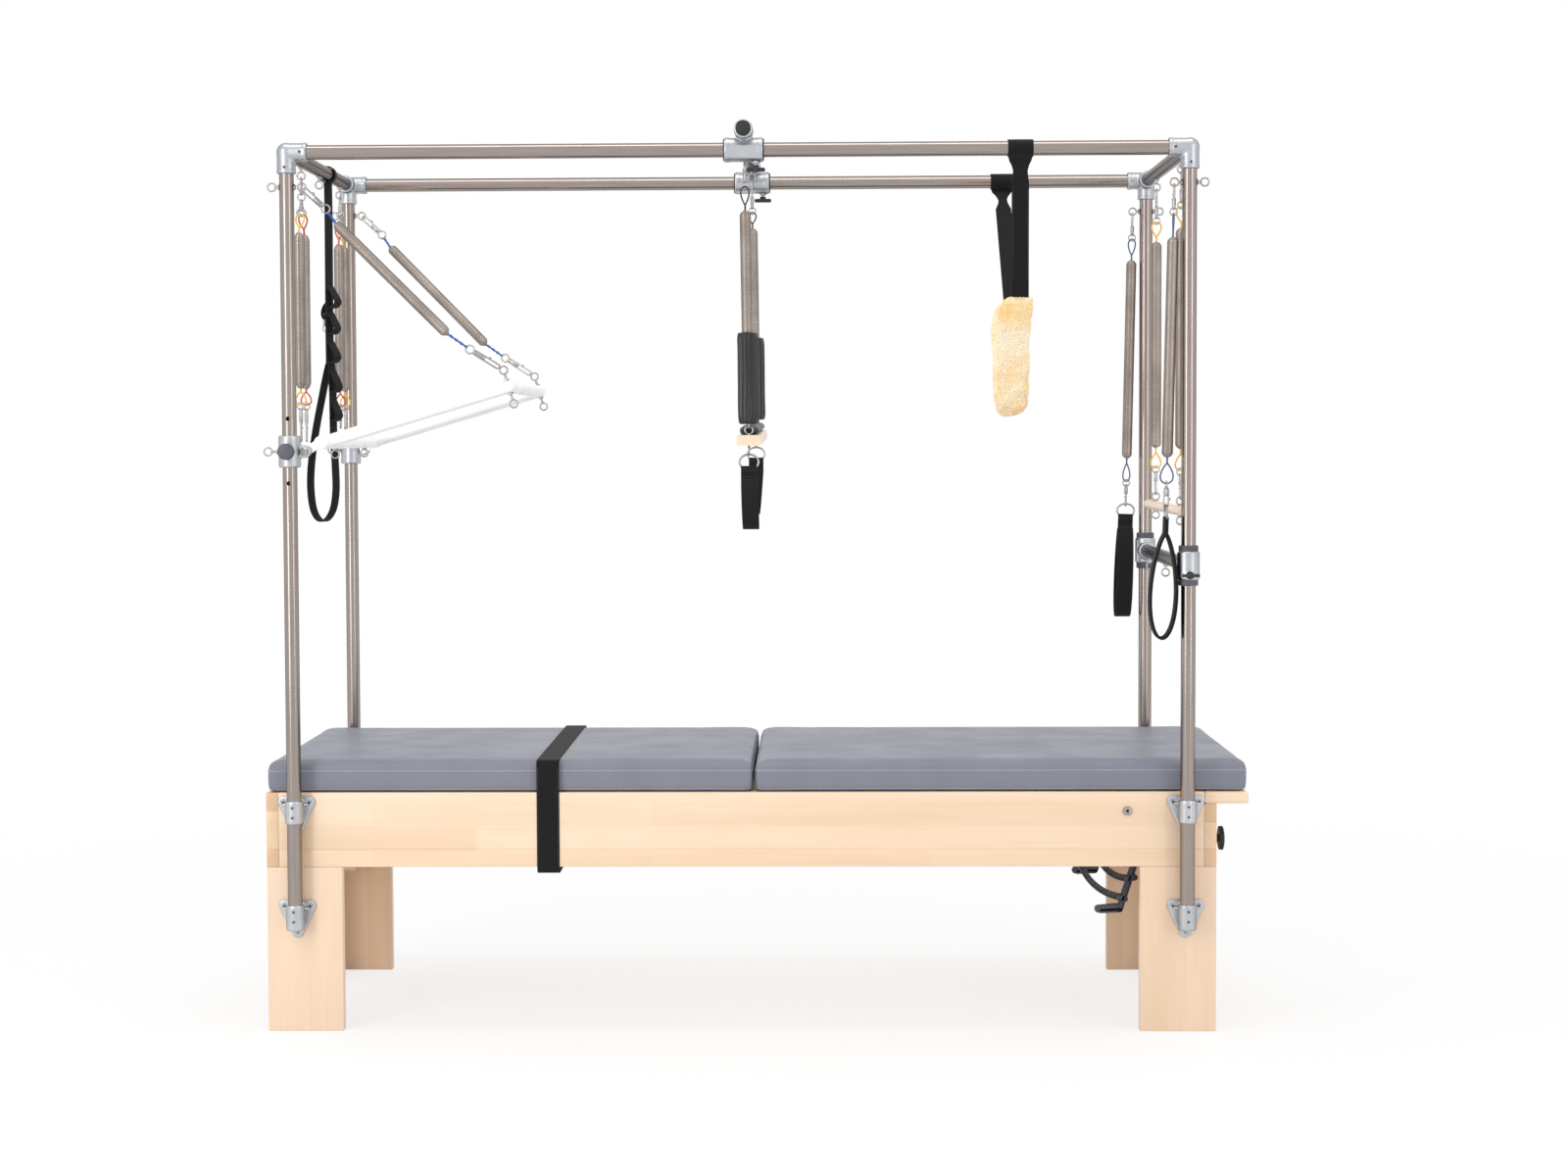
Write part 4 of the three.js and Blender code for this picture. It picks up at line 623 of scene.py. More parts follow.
def stitches_tree():
    """A row of thread stitches along an edge path."""
    tree, given, last = new_tree("stitches", {
        "Geometry": "Geometry", "Pitch": "Float", "Thread": "Float", "Material": "Material",
    })
    line = add(tree, "GeometryNodeMeshToCurve", {"Mesh": given["Geometry"]})
    spaced = add(tree, "GeometryNodeResampleCurve", {"Curve": line.outputs[0], "Length": given["Pitch"]},
                 mode="LENGTH")
    turned = add(tree, "FunctionNodeAlignRotationToVector", {
        "Vector": add(tree, "GeometryNodeInputTangent").outputs[0],
    }, axis="Z")
    stitch = add(tree, "GeometryNodeMeshCylinder", {
        "Vertices": 6, "Radius": given["Thread"],
        "Depth": add(tree, "ShaderNodeMath", {0: given["Pitch"], 1: 0.68}, operation="MULTIPLY"),
    })
    laid = add(tree, "GeometryNodeInstanceOnPoints", {
        "Points": spaced.outputs[0], "Instance": stitch.outputs[0], "Rotation": turned.outputs[0],
    })
    return finish_tree(tree, laid.outputs[0], given["Material"], last)


def wool_tree():
    """Small locks of wool all over a mesh, each of its own size and turn."""
    tree, given, last = new_tree("wool", {
        "Geometry": "Geometry", "Density": "Float", "Lock": "Float", "Seed": "Int", "Material": "Material",
    })
    points = add(tree, "GeometryNodeDistributePointsOnFaces", {
        "Mesh": given["Geometry"], "Density": given["Density"], "Seed": given["Seed"],
    })
    lock = add(tree, "GeometryNodeMeshIcoSphere", {"Radius": given["Lock"], "Subdivisions": 1})
    size = add(tree, "FunctionNodeRandomValue", {0: (0.5, 0.5, 0.4), 1: (1.3, 1.3, 1.0), "Seed": given["Seed"]},
               data_type="FLOAT_VECTOR")
    turned = add(tree, "FunctionNodeRandomValue", {0: (-0.7, -0.7, -3.1), 1: (0.7, 0.7, 3.1), "Seed": 7},
                 data_type="FLOAT_VECTOR")
    spun = add(tree, "FunctionNodeEulerToRotation", {0: turned.outputs[0]})
    rotation = add(tree, "FunctionNodeRotateRotation", {
        "Rotation": points.outputs["Rotation"], "Rotate By": spun.outputs[0],
    }, rotation_space="LOCAL")
    laid = add(tree, "GeometryNodeInstanceOnPoints", {
        "Points": points.outputs["Points"], "Instance": lock.outputs[0], "Rotation": rotation.outputs[0],
        "Scale": size.outputs[0],
    })
    both = add(tree, "GeometryNodeJoinGeometry", {0: given["Geometry"]})
    tree.links.new(laid.outputs[0], both.inputs[0])
    return finish_tree(tree, both.outputs[0], given["Material"], last)


WOUND, FIXINGS, STITCHES, WOOL = wound_tree(), fixings_tree(), stitches_tree(), wool_tree()
COIL_WIRE = 1.35


def grow(obj, tree, values):
    """Runs a tree on an object, with the tree's inputs by name."""
    modifier = obj.modifiers.new(tree.name, "NODES")
    modifier.node_group = tree
    for item in tree.interface.items_tree:
        if item.item_type == "SOCKET" and item.in_out == "INPUT" and item.name in values:
            modifier[item.identifier] = values[item.name]
    return settle(obj, values["Material"], 180 if tree is WOUND else 38)


def coil(name, a, b, radius, drawn=2.5):
    """A close-wound spring between two points, as a plain mesh."""
    reach = (b - a).length
    obj = raw(name, [])
    pitch = 2 * COIL_WIRE + 0.15
    # The curls touch, so only the backs of the wires show. They are drawn flatter, with a shallow groove between.
    grow(obj, WOUND, {
        "Length": reach * MM, "Radius": radius * MM, "Wire": COIL_WIRE * 2.1 * MM, "Turns": reach / pitch,
        "Drawn Turns": drawn, "Material": SPRING_STEEL,
    })
    turn = Z.rotation_difference(b - a).to_matrix().to_4x4()
    obj.data.transform(Matrix.Translation(metres(a)) @ turn)
    return obj


def fixings(name, look, template, spots):
    """The same small fixing on many spots of the table, each a place and a way out, as one piece."""
    head = raw(f"{name}_one", template)
    head.data.transform(Matrix.Translation((-ORIGIN_X * MM, 0, 0)))
    mesh = bpy.data.meshes.new(name)
    mesh.from_pydata([metres(place) for place, _ in spots], [], [])
    facing = mesh.attributes.new("facing", "FLOAT_VECTOR", "POINT")
    facing.data.foreach_set("vector", [c for _, way in spots for c in way])
    obj = grow(linked(name, mesh), FIXINGS, {"Fixing": head, "Material": look})
    bpy.data.objects.remove(head)
    return seat(obj, BODY, SLOTS[look.name])


def stitches(name, body, path):
    mesh = bpy.data.meshes.new(name)
    mesh.from_pydata([metres(p) for p in path], [(k, k + 1) for k in range(len(path) - 1)], [])
    obj = linked(name, mesh)
    grow(obj, STITCHES, {"Pitch": 4.0 * MM, "Thread": 0.4 * MM, "Material": THREAD})
    return seat(obj, body, "webbing")


# Eye bolts, hooks and loops
EYE, EYE_WIRE = 8.75, 1.9
RING, RING_WIRE = 9.2, 1.8
HOOK_HALF, HOOK_WIRE = 4.9, 1.9
SWIVEL, SWIVEL_WIRE, D_WIRE = 8.2, 1.5, 2.2
SEAT = EYE - EYE_WIRE - HOOK_WIRE - 0.75


def eye_bolt(base, direction, reach, surface=TUBE - 0.2):
    """An eye bolt, its eye open to the front, with its nut on a surface some way out from its base."""
    centre = base + direction * reach
    neck = base + direction * surface
    nut = lathe([(0, 0), (5.4, 0), (5.8, 0.5), (5.8, 3.5), (5.2, 4.2), (0, 4.2)], neck, direction, 6)
    washer = lathe([(0, 0), (7, 0), (7, 1), (0, 1)], neck, direction, 28)
    shank = reach - surface - EYE
    neck_rod = lathe([(0, 0), (2.9, 0), (2.9, shank - 3), (3.6, shank), (0, shank + 1.5)], neck, direction, 20)
    return [ring(centre, Y, EYE, EYE_WIRE), neck_rod, nut, washer]


def oval(centre, along, across, half_length, half_width, steps=10):
    bend = half_length - half_width
    points = []
    for end in (0, 1):
        for k in range(steps + 1):
            angle = math.pi * (end - 0.5 + k / steps)
            reach = (bend if end == 0 else -bend) + half_width * math.cos(angle)
            points.append(centre + along * reach + across * half_width * math.sin(angle))
    return points


def snap_hook(nose, eye, across, swivel=True):
    """A snap hook: a bent body, its nose through one thing, with a sprung gate, a solid shank and a swivel eye."""
    along = (eye - nose).normalized()
    across = (across - along * across.dot(along)).normalized()
    end = eye - along * (2 * SWIVEL - 2.4) if swivel else eye
    length = (end - nose).length
    shells = [wire(oval((nose + end) / 2, along, across, length / 2, HOOK_HALF), HOOK_WIRE, True, 12)]
    gate = nose + along * (length * 0.42) + across * HOOK_HALF
    shells.append(lathe([(0, 0), (2.3, 0.6), (3, 2.4), (2.3, 4.2), (0, 4.8)], gate, across, 16))
    low = nose + along * (length * 0.55)
    shank = [(0, 0), (3.2, 0.8), (4.3, 2.6)]
    shank += [(r, length * share) for r, share in ((4.3, 0.3), (3.2, 0.38), (2.4, 0.45), (0, 0.46))]
    shells.append(lathe(shank, low, along, 20))
    if swivel:
        shells.append(ring(eye - along * SWIVEL, across, SWIVEL, SWIVEL_WIRE))
        barrel = [(0, 0), (3, 0), (3.6, 0.8), (3.6, 2.6), (2.8, 3.4), (0, 3.4)]
        shells.append(lathe(barrel, end - along * 1.6, along, 20))
    return shells


def drop_path(top, along, across, length, half_width, taper, steps=40):
    points = []
    for k in range(steps):
        angle = 2 * math.pi * k / steps
        narrow = abs(math.sin(angle / 2)) ** taper
        down = along * (length / 2 * (1 - math.cos(angle)))
        points.append(top + down + across * (half_width * math.sin(angle) * narrow))
    return points


def wire_loop(coil_end, along, across, reach, half_width, stem=14):
    """A coated wire loop on a spring: a laid-up stem out of the coil, then a loop that is pointed at the stem."""
    neck = coil_end + along * stem
    length = reach - stem
    path = drop_path(neck, along, across, length, half_width / 0.77, 1)
    return [rod(coil_end - along * 8, neck + along * 2, 2.1, 0.3, 12), wire(path, 1.8, True)]


def hung_spring(name, top, bottom, drops, look, bodies, across, low_across, loops=(X, X), halves=(8.5, 8.5)):
    """A hung spring: hook, coated loop, wound body, coated loop and hook; the top hook and loop go with the upper
    body, the low ones with the lower.
    """
    way = (bottom - top).normalized()
    hook_end, coil_start, coil_end, loop_end = (top + way * (drop / -way.z) for drop in drops)
    upper, lower = bodies
    piece(f"{name}_hook_top", upper, ZINC, snap_hook(top + way * SEAT, hook_end, across))
    reach = (coil_start - hook_end).length + 2 * SWIVEL_WIRE + 1.7
    piece(f"{name}_loop_top", upper, look, wire_loop(coil_start, -way, loops[0], reach, halves[0]))
    body = coil(f"{name}_coil", coil_start, coil_end, 12.6)
    metres(coil_start)
    metres(coil_end)
    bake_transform(body)
    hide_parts(name)
    reach = (loop_end - coil_end).length + 2 * SWIVEL_WIRE + 1.7
    piece(f"{name}_loop_low", lower, look, wire_loop(coil_end, way, loops[1], reach, halves[1]))
    piece(f"{name}_hook_low", lower, ZINC, snap_hook(bottom - way * SEAT, loop_end, low_across))


# The wooden table
def ordered(a, b):
    return (a, b) if a < b else (b, a)


def make_table():
    low = RAIL_BOTTOM + 39.5
    reach = HALF_L - BOARD - GAP
    for s, f in SIDES:
        y0, y1 = ordered(f * (HALF_W - BOARD), f * HALF_W)
        piece(f"side_rail_{s}_board", BODY, MAPLE_X, [slab(-reach, reach, y0, y1, low, FRAME_TOP, 1)],
              [f"side_rail_{s}"])
        piece(f"side_rail_{s}_low_strip", BODY, MAPLE_X_DARK, [slab(-reach, reach, y0, y1, RAIL_BOTTOM, low, 1)])
        cover = [(0, -0.3), (10, -0.3), (10, 3.4), (9.2, 4.8), (5.6, 5.6), (4.9, 5.2), (4.6, 2.2), (0, 2.0)]
        spot = at(855.5, f * HALF_W, 491)
        piece(f"bolt_cover_{s}", BODY, ZINC, [lathe(cover, spot, Y * f)])
        # A nearly black hex disc in the cover's recess: painted shade for the dark of the recess.
        piece(f"bolt_socket_{s}", BODY, SOCKET_PAINTED_SHADE, [rod(spot + Y * f, spot + Y * f * 2.6, 3.6, 0.2, 6)])
    for e, h in ENDS:
        x0, x1 = ordered(h * (HALF_L - BOARD), h * HALF_L)
        top = FRAME_TOP if h < 0 else DECK_BOTTOM - GAP
        piece(f"end_rail_{e}_board", BODY, MAPLE_Y, [slab(x0, x1, -HALF_W, HALF_W, low, top - 40, 1)],
              [f"end_rail_{e}"])
        strips = [slab(x0, x1, -HALF_W, HALF_W, a, b, 1) for a, b in ((RAIL_BOTTOM, low), (top - 40, top))]
        piece(f"end_rail_{e}_strips", BODY, MAPLE_Y_DARK, strips)
        for s, f in SIDES:
            name = f"leg_{s}_{e}"
            long_x = ordered(h * (HALF_L - LEG_WIDTH), h * HALF_L)
            wide_y = ordered(f * (HALF_W - LEG_WIDTH), f * (HALF_W - BOARD))
            thin_y = ordered(f * (HALF_W - BOARD), f * HALF_W)
            block_x = ordered(h * (HALF_L - BOARD - GAP), h * (HALF_L - BOARD - GAP - 62))
            block_y = ordered(f * (HALF_W - BOARD - GAP), f * (HALF_W - BOARD - GAP - 62))
            piece(name + "_boards", BODY, MAPLE_Z, [
                slab(*long_x, *thin_y, 0, RAIL_BOTTOM - GAP, 2), slab(x0, x1, *wide_y, 0, RAIL_BOTTOM - GAP, 2),
                slab(*block_x, *block_y, RAIL_BOTTOM - 110, DECK_BOTTOM - GAP, 2),
            ], [name])
    nose = hull_outline([(1031.2, 512.7), (LEDGE_END - 6, 512.7), (LEDGE_END - 6, 526.7), (1031.2, 526.7)], 6, 6)
    inside = HALF_W - BOARD - GAP
    piece("deck_board", BODY, MAPLE_X, [
        slab(-reach, reach, -inside, inside, DECK_BOTTOM, DECK_TOP, 1), plate(nose, -HALF_W, HALF_W, 2.5),
    ], ["deck"])
    centre = at(HALF_L + GAP, -200, 408)
    profile = [(0, 0), (10, 0), (10, 2), (7.5, 3), (7.5, 20), (11, 24.5), (21, 25.3), (24.5, 26.2), (25.4, 28),
               (25.4, 34), (24.4, 36), (20, 37.3), (12, 37.9), (0, 38)]
    points, polygons, _ = slab(centre.x + 26.4, centre.x + 35.6, -1.7, 1.7, 24, 26.9, 0.8)
    shells, axis = [lathe(profile, centre, X)], at(0, centre.y, centre.z)
    for k in range(24):
        turn = Matrix.Rotation(2 * math.pi * k / 24, 3, "X")
        turned = [turn @ Vector((0, p.y, p.z)) + X * p.x + axis for p in points]
        shells.append((turned, polygons, None))
    piece("end_knob_grip", "end_knob", BLACK_PLASTIC, shells, ["end_knob"])


# Quadrant brackets: two curved ribs with cross walls, a slanting spoke and a foot
def make_quadrants():
    cx, cz, top = 868, 396, DECK_BOTTOM - GAP

    def place(r, k):
        angle = math.pi * (1 + k / 48)
        return cx + r * math.cos(angle), cz + r * math.sin(angle)

    def strip(outer, inner, sweep_steps, y, half):
        steps = range(sweep_steps + 1)
        outline = [(cx - outer, top - 6), *(place(outer, k) for k in steps)]
        outline += [*(place(inner, k) for k in reversed(steps)), (cx - inner, top - 6)]
        return plate(outline, y - half, y + half, min(0.8, half / 4))

    for s, f in SIDES:
        y = f * 262
        shells = [
            plate(hull_outline(line, radius), y - half, y + half, 0.8)
            for half, radius in ((8, 3), (3.5, 8))
            for line in ([(925, top - 8), (848, 258)], [(848, 258), (806, 256)])
        ]
        shells.append(plate(hull_outline([(842, 262), (800, 258)], 8), y - 8, y + 8, 1.5))
        shells.append(slab(cx - 120, 925, y - 8, y + 8, top - 12, top, 1.5))
        for radius, steps in ((120, 22), (76, 24)):
            shells += [strip(radius, radius - 3, steps, y, 8), strip(radius - 11, radius - 14, steps, y, 8),
                       strip(radius - 2, radius - 12, steps, y, 3.5)]
            for k in range(1, steps, 3):
                (ax, az), (bx, bz) = place(radius - 1.5, k), place(radius - 12.5, k)
                shells.append(plate(hull_outline([(ax, az), (bx, bz)], 1.3, 3), y - 7, y + 7, 0))
        for (ax, az), right, up in ((place(113, 21), 14, -4), (place(69, 23), 18, 2)):
            shells.append(plate(hull_outline([(ax, az), (ax + right, az + up)], 7), y - 8, y + 8, 1))
        piece(f"quadrant_bracket_{s}_moulding", BODY, SLATE_COAT, shells,
              [f"quadrant_bracket_{s}"])


# Tube frame
def tube(a, b, edge=0.8):
    return rod(a, b, TUBE, edge, 56)


def screw_head(radius, height):
    """The head of a cap screw, hollowed where its socket is."""
    rim, floor = height - 0.5, height - 1.8
    profile = [(0, 0), (radius, 0), (radius, rim), (radius - 0.5, height), (radius * 0.55, height)]
    return [lathe([*profile, (radius * 0.5, floor), (0, floor)], Vector(), Z, 14)]


def flange_shells(x, f, top, height):
    """A three-eared plate with the hub for a post, a web between them, a cross rib and a low rib."""
    face = f * (HALF_W + GAP)
    y0, y1 = ordered(face, face + f * 6)
    outline = [(x + a, top + b) for a, b in hull_outline([(-29, -6.8), (0, -66), (29, -6.8)], 13, 10)]
    hub = [at(x, f * POST_Y, top - height), at(x, f * POST_Y, top)]
    web, rib = ordered(face, f * POST_Y), ordered(face, face + f * 20)
    return [plate(outline, y0, y1, 1.5), rod(*hub, 20, 2, 48), slab(x - 12, x + 12, *web, top - height, top, 3),
            slab(x - 30, x + 30, *rib, top - 14, top - 8, 2), slab(x - 3, x + 3, *rib, top - 66, top - height, 1.5)]


def make_frame():
    caps, sets = [], []  # screws: each its place and its way out
    for e, h in ENDS:
        for s, f in SIDES:
            x, y = h * POST_X, f * POST_Y
            name = f"{s}_{e}"
            foot, head = at(x, y, 260.5), at(x, y, TOP_RAIL - 22)
            holes = []
            if h < 0:
                for z in (1220.5, 1290, 1362):
                    holes.append(rod(at(x, y + f * 8, z), at(x, y + f * 24, z), 5, 0.1, 24))
                holes.append(rod(at(x, y, 262), at(x, y, TOP_RAIL - 24), 13.4, 0.1, 40))
            cast(f"post_{name}_tube", BODY, STAINLESS_Z, [tube(foot, head)], holes, None,
                 replaces=[f"post_{name}"])
            eyes = []
            for way in (X, -X):
                eyes += eye_bolt(at(x, y, POST_EYE_Z), way, POST_EYE_REACH)
            piece(f"post_{name}_eyes", BODY, ZINC, eyes)
            through = rod(at(x, y, 260), at(x, y, 700), TUBE + 0.15, 0.1, 56)
            for label, top, height in (("low", 289, 57), ("high", 520, 52)):
                known = [f"flange_{name}"] if label == "high" else []
                cast(f"flange_{name}_{label}", BODY, CAST, flange_shells(x, f, top, height), [through],
                     replaces=known)
                for across, drop in ((-29, 6.8), (29, 6.8), (0, 66)):
                    caps.append((at(x + across, f * (HALF_W + 5.8), top - drop), Y * f))
                sets += [(at(x, y + f * 19.3, top - drop), Y * f) for drop in (14, 36)]
            corner = at(x, y, TOP_RAIL)
            shells, bores = [ball(corner, 21.4)], []
            for way in (X * -h, Y * -f, -Z):
                shells.append(rod(corner, corner + way * 46.5, 20.4, 1.2, 48))
                shells.append(span(corner, way, 38, 46.5, 21.6, 1.6, 48))
                bores.append(span(corner, way, 21.8, 80, TUBE + 0.15, 0.1, 56))
            cast(f"corner_{name}_casting", BODY, CAST, shells, bores, replaces=[f"corner_{name}"])
            for arm, way in ((X * -h, Y * f), (Y * -f, X * h), (-Z, Y * f)):
                sets.append((corner + arm * 33 + way * 19.7, way))
    fixings("flange_screws", ZINC, screw_head(5, 3.4), caps)
    fixings("set_screws", ZINC, screw_head(4.2, 1.8), sets)
    # Nearly black discs in the screws' sockets: painted shade for the dark of each socket.
    fixings("screw_sockets", SOCKET_PAINTED_SHADE, [rod(Vector(), Z * 1.9, 2.1, 0.1, 6)], caps + sets)
    reach = POST_X - 22
    for s, f in SIDES:
        rail = tube(at(-reach, f * POST_Y, TOP_RAIL), at(reach, f * POST_Y, TOP_RAIL))
        piece(f"top_rail_{s}_tube", BODY, STAINLESS_X, [rail], [f"top_rail_{s}"])
    reach = POST_Y - 22
    for e, h in ENDS:
        x = h * POST_X
        piece(f"cross_tube_{e}_tube", BODY, STAINLESS_Y,
              [tube(at(x, -reach, TOP_RAIL), at(x, reach, TOP_RAIL))], [f"cross_tube_{e}"])
        eyes = []
        for y in ((-214, 0, 262) if h < 0 else (-250, 178)):
            eyes += eye_bolt(at(x, y, TOP_RAIL), -Z, TUBE_EYE_REACH)
        piece(f"cross_tube_{e}_eyes", BODY, ZINC, eyes)


# Push-through bar with its collars, pull pins and springs
PUSH_ROOT, PUSH_END = at(-918, 0, 1309.5), at(-508, 0, 1430.86)
PUSH_Y, PUSH_RADIUS, PUSH_EYE_REACH = 318, 14.6, 38.5
PUSH_ALONG = (PUSH_END - PUSH_ROOT).normalized()
PUSH_NORMAL = Vector((-PUSH_ALONG.z, 0, PUSH_ALONG.x))


def make_push_bar():
    for s, f in SIDES:
        axis = at(-POST_X, f * POST_Y, PIVOT_Z)
        y = axis.y
        lug = [(-POST_X + a, PIVOT_Z + b) for a, b in hull_outline([(0, 0), (33.5, 0)], 14, 10)]
        bores = [
            span(axis, Z, -60, 60, TUBE + 0.5, 0.1, 56),
            span(axis + X * 33.5, Y, -20, 20, 5.4, 0.1, 24),
            rod(axis, axis + Y * f * 60, 4, 0.1, 24),
        ]
        cast(f"push_bar_collar_{s}_body", BODY, CAST, [
            span(axis, Z, -35, 35, 24.2, 2, 56), plate(lug, y - 7, y + 7, 1.5),
            span(axis, Y * f, 18, 27, 11, 1.5, 32), span(axis, X, -18, -26, 7, 1, 24),
        ], bores, 1.8, 3, [f"push_bar_collar_{s}"])
        piece(f"push_bar_collar_{s}_eye", BODY, ZINC, eye_bolt(axis, -X, 48, 25))
        knob = [(0, 31), (9, 31), (14, 31.6), (17, 33.2), (18, 36), (18, 47.5), (17, 50.4), (14.5, 52.3), (11, 53),
                (0, 53)]
        piece(f"plunger_{s}_knob", f"plunger_{s}", GREY_PLASTIC, [lathe(knob, axis, Y * f, 48)],
              [f"plunger_{s}"])
        pin = [(0, 11.4), (3.4, 11.4), (3.4, 27.4), (7.6, 27.4), (8, 28), (8, 31.5), (0, 31.5)]
        piece(f"plunger_{s}_pin", f"plunger_{s}", ZINC, [lathe(pin, axis, Y * f, 32)])

    bar, eyes, pins = [], [], []
    for s, f in SIDES:
        y = f * PUSH_Y
        root, end = PUSH_ROOT + Y * y, PUSH_END + Y * y
        bar.append(rod(root, end, PUSH_RADIUS, 0.5, 48))
        bar.append(ball(end, PUSH_RADIUS))
        ear = [(-950 + a, PIVOT_Z + b) for a, b in hull_outline([(0, 0), (32, 19.5)], 9.5, 10)]
        bar.append(plate(ear, *ordered(f * 362.5, f * 370.5), 1.2))
        low = at(-950, f * 362.6, PIVOT_Z)
        pins.append(rod(low, low + Y * f * 22.9, 5, 0.3, 32))
        cap = [(0, 0), (7, 0), (8, 1), (8, 4.6), (6.6, 6), (3.4, 6), (3, 4.4), (0, 4.4)]
        pins.append(lathe(cap, at(-950, f * 385.5, PIVOT_Z), Y * f, 32))
        for way in (PUSH_NORMAL, -PUSH_NORMAL):
            eyes += eye_bolt(end, way, PUSH_EYE_REACH, 14.2)
        eyes += eye_bolt(PUSH_ROOT + Y * f * 190.8, -Z, 27, 14.2)
    bar.append(span(PUSH_ROOT, Y, -366.5, 366.5, PUSH_RADIUS, 1.5, 48))
    bar.append(rod(PUSH_END - Y * PUSH_Y, PUSH_END + Y * PUSH_Y, PUSH_RADIUS, 0.5, 48))
    piece("push_through_bar_tube", "push_through_bar", ANODISED, bar, ["push_through_bar"])
    piece("push_through_bar_pins", "push_through_bar", ZINC, pins)
    piece("push_through_bar_eyes", "push_through_bar", ZINC, eyes)

    for s, f in SIDES:
        upper, lower = f"push_bar_spring_{s}", f"push_bar_hook_{s}"
        top = at(POST_EYE_REACH - POST_X, f * POST_Y, POST_EYE_Z)
        low = PUSH_END + Y * f * PUSH_Y + PUSH_NORMAL * PUSH_EYE_REACH
        line, whole = (low - top).normalized(), (low - top).length
        below = (-Z - line * -line.z).normalized()
        ring_at, start, end, low_ring = (
            top + line * (a * whole) + below * (b * whole)
            for a, b in ((0.1182, 0), (0.1824, 0.0152), (0.7531, 0.0405), (0.8561, 0.027))
        )
        seat_top = top + line * SEAT
        piece(f"{upper}_hook", upper, ZINC, snap_hook(seat_top, ring_at - line * RING, X, False))
        piece(f"{upper}_ring", upper, ZINC, [ring(ring_at, Y, RING, RING_WIRE)])
        lead = (start - ring_at).normalized()
        piece(f"{upper}_lead", upper, BLUE, twisted_lead(ring_at + lead * (RING - 2), start + lead * 4))
        body = coil(f"{upper}_coil", start, end, 12)
        metres(start)
        metres(end)
        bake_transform(body)
        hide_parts(upper)
        lead = (low_ring - end).normalized()
        piece(f"{lower}_lead", lower, BLUE, twisted_lead(end - lead * 4, low_ring - lead * (RING - 2)))
        last = (low - low_ring).normalized()
        piece(f"{lower}_ring", lower, ZINC, [ring(low_ring, Y, RING, RING_WIRE)])
        piece(f"{lower}_links", lower, ZINC,
              snap_hook(low - last * (EYE + 1.9 + 0.5), low_ring + last * RING, X, False), [lower])


def twisted_lead(a, b):
    """Two coated wires laid up round each other between a ring and a spring, with a loop on the ring."""
    along = (b - a).normalized()
    u = along.orthogonal().normalized()
    w = along.cross(u)
    length = (b - a).length
    shells = []
    for phase in (0, math.pi):
        path = []
        for k in range(41):
            t = k / 40
            angle = phase + 2 * math.pi * 2.2 * t
            size = 1.7 + 3.2 * max(0, 0.25 - t) * 4
            path.append(a + along * (length * t) + (u * math.cos(angle) + w * math.sin(angle)) * size)
        shells.append(wire(path, 1.5, sides=8))
    return shells


# Crossbar with its sliding castings and clamping screws
def make_carriage():
    body = "crossbar_carriage"
    end = POST_Y + CROSSBAR_END
    piece("crossbar_tube", body, STAINLESS_Y,
          [tube(at(CROSSBAR_X, -end + 10, CROSSBAR_Z), at(CROSSBAR_X, end - 10, CROSSBAR_Z))], [body])
    caps, bushes, eyes = [], [], []
    for s, f in SIDES:
        y = f * POST_Y
        rail, bar = at(CROSSBAR_X, y, TOP_RAIL), at(CROSSBAR_X, y, CROSSBAR_Z)
        bores = [span(rail, X, -60, 60, TUBE + 0.6, 0.1, 56), span(bar, Y, -60, 60, TUBE + 0.1, 0.1, 56),
                 rod(rail + X * 26.3, rail + X * 26.3 - Z * 40, 4.5, 0.1, 24)]
        cast(f"crossbar_casting_{s}", body, CAST, [
            span(rail, X, -40, 40, 26, 2.5, 56), span(rail, X, -42.5, -30, 27, 2, 56),
            span(rail, X, 30, 42.5, 27, 2, 56), rod(rail, bar, 15, 0.5, 40),
            span(bar, Y, -31, 31, 21, 2, 48),
            slab(CROSSBAR_X - 15, CROSSBAR_X + 15, y - 12, y + 12, TOP_RAIL + 10, CROSSBAR_Z, 3),
            span(rail + X * 26.3, Z, -20, -30.5, 8, 1, 32),
        ], bores, 2.0, 6)
        bush = [(TUBE + 0.6, 42), (23.5, 42), (24.5, 43), (24, 44.4), (TUBE + 0.6, 44.5)]
        bushes += [lathe(bush, rail, way, 56, ring=True) for way in (X, -X)]
        cap = [(0, 0), (TUBE + 0.9, 0), (TUBE + 0.9, 9), (TUBE - 0.6, 11.2), (9, 12), (0, 12)]
        caps.append(lathe(cap, at(CROSSBAR_X, f * (end - 12), CROSSBAR_Z), Y * f, 56))
        eyes += eye_bolt(at(CROSSBAR_X, f * TRAPEZE_Y, CROSSBAR_Z), -Z, TUBE_EYE_REACH)
        place = at(CROSSBAR_X + 26.3, y, 1899)
        screw = f"carriage_screw_{s}"
        piece(f"{screw}_handle", screw, BLACK_PLASTIC, [
            span(place, X, -20.5, 20.5, 4.6, 2, 28),
            lathe([(0, -3), (7, -3), (8, 0), (7.4, 8), (6, 10), (0, 10)], place, Z, 32),
        ], [screw])
        piece(f"{screw}_stem", screw, ZINC, [rod(place + Z * 8, at(place.x, y, TOP_RAIL - TUBE - 1), 3.8, 0.5, 24)])
    piece("crossbar_caps", body, BLACK_PLASTIC, caps)
    piece("crossbar_bushings", body, BLACK_PLASTIC, bushes, slot="grey_plastic")
    piece("crossbar_eyes", body, ZINC, eyes)


def d_ring(centre, along):
    """A D-ring: its straight side low, its bow up."""
    points = [centre + along * a + Z * b for a, b in ((-17, -14), (-8, -14), (0, -14), (8, -14), (17, -14))]
    for k in range(21):
        angle = math.radians(-28 + 236 * k / 20)
        points.append(centre + along * (21 * math.cos(angle)) + Z * (-2.4 + 16.4 * math.sin(angle)))
    return wire(points, D_WIRE, True, 12)


# Trapeze: a padded wooden bar with a webbing cuff at each end, on two springs in leather sleeves
TRAPEZE_X = CROSSBAR_X + 8


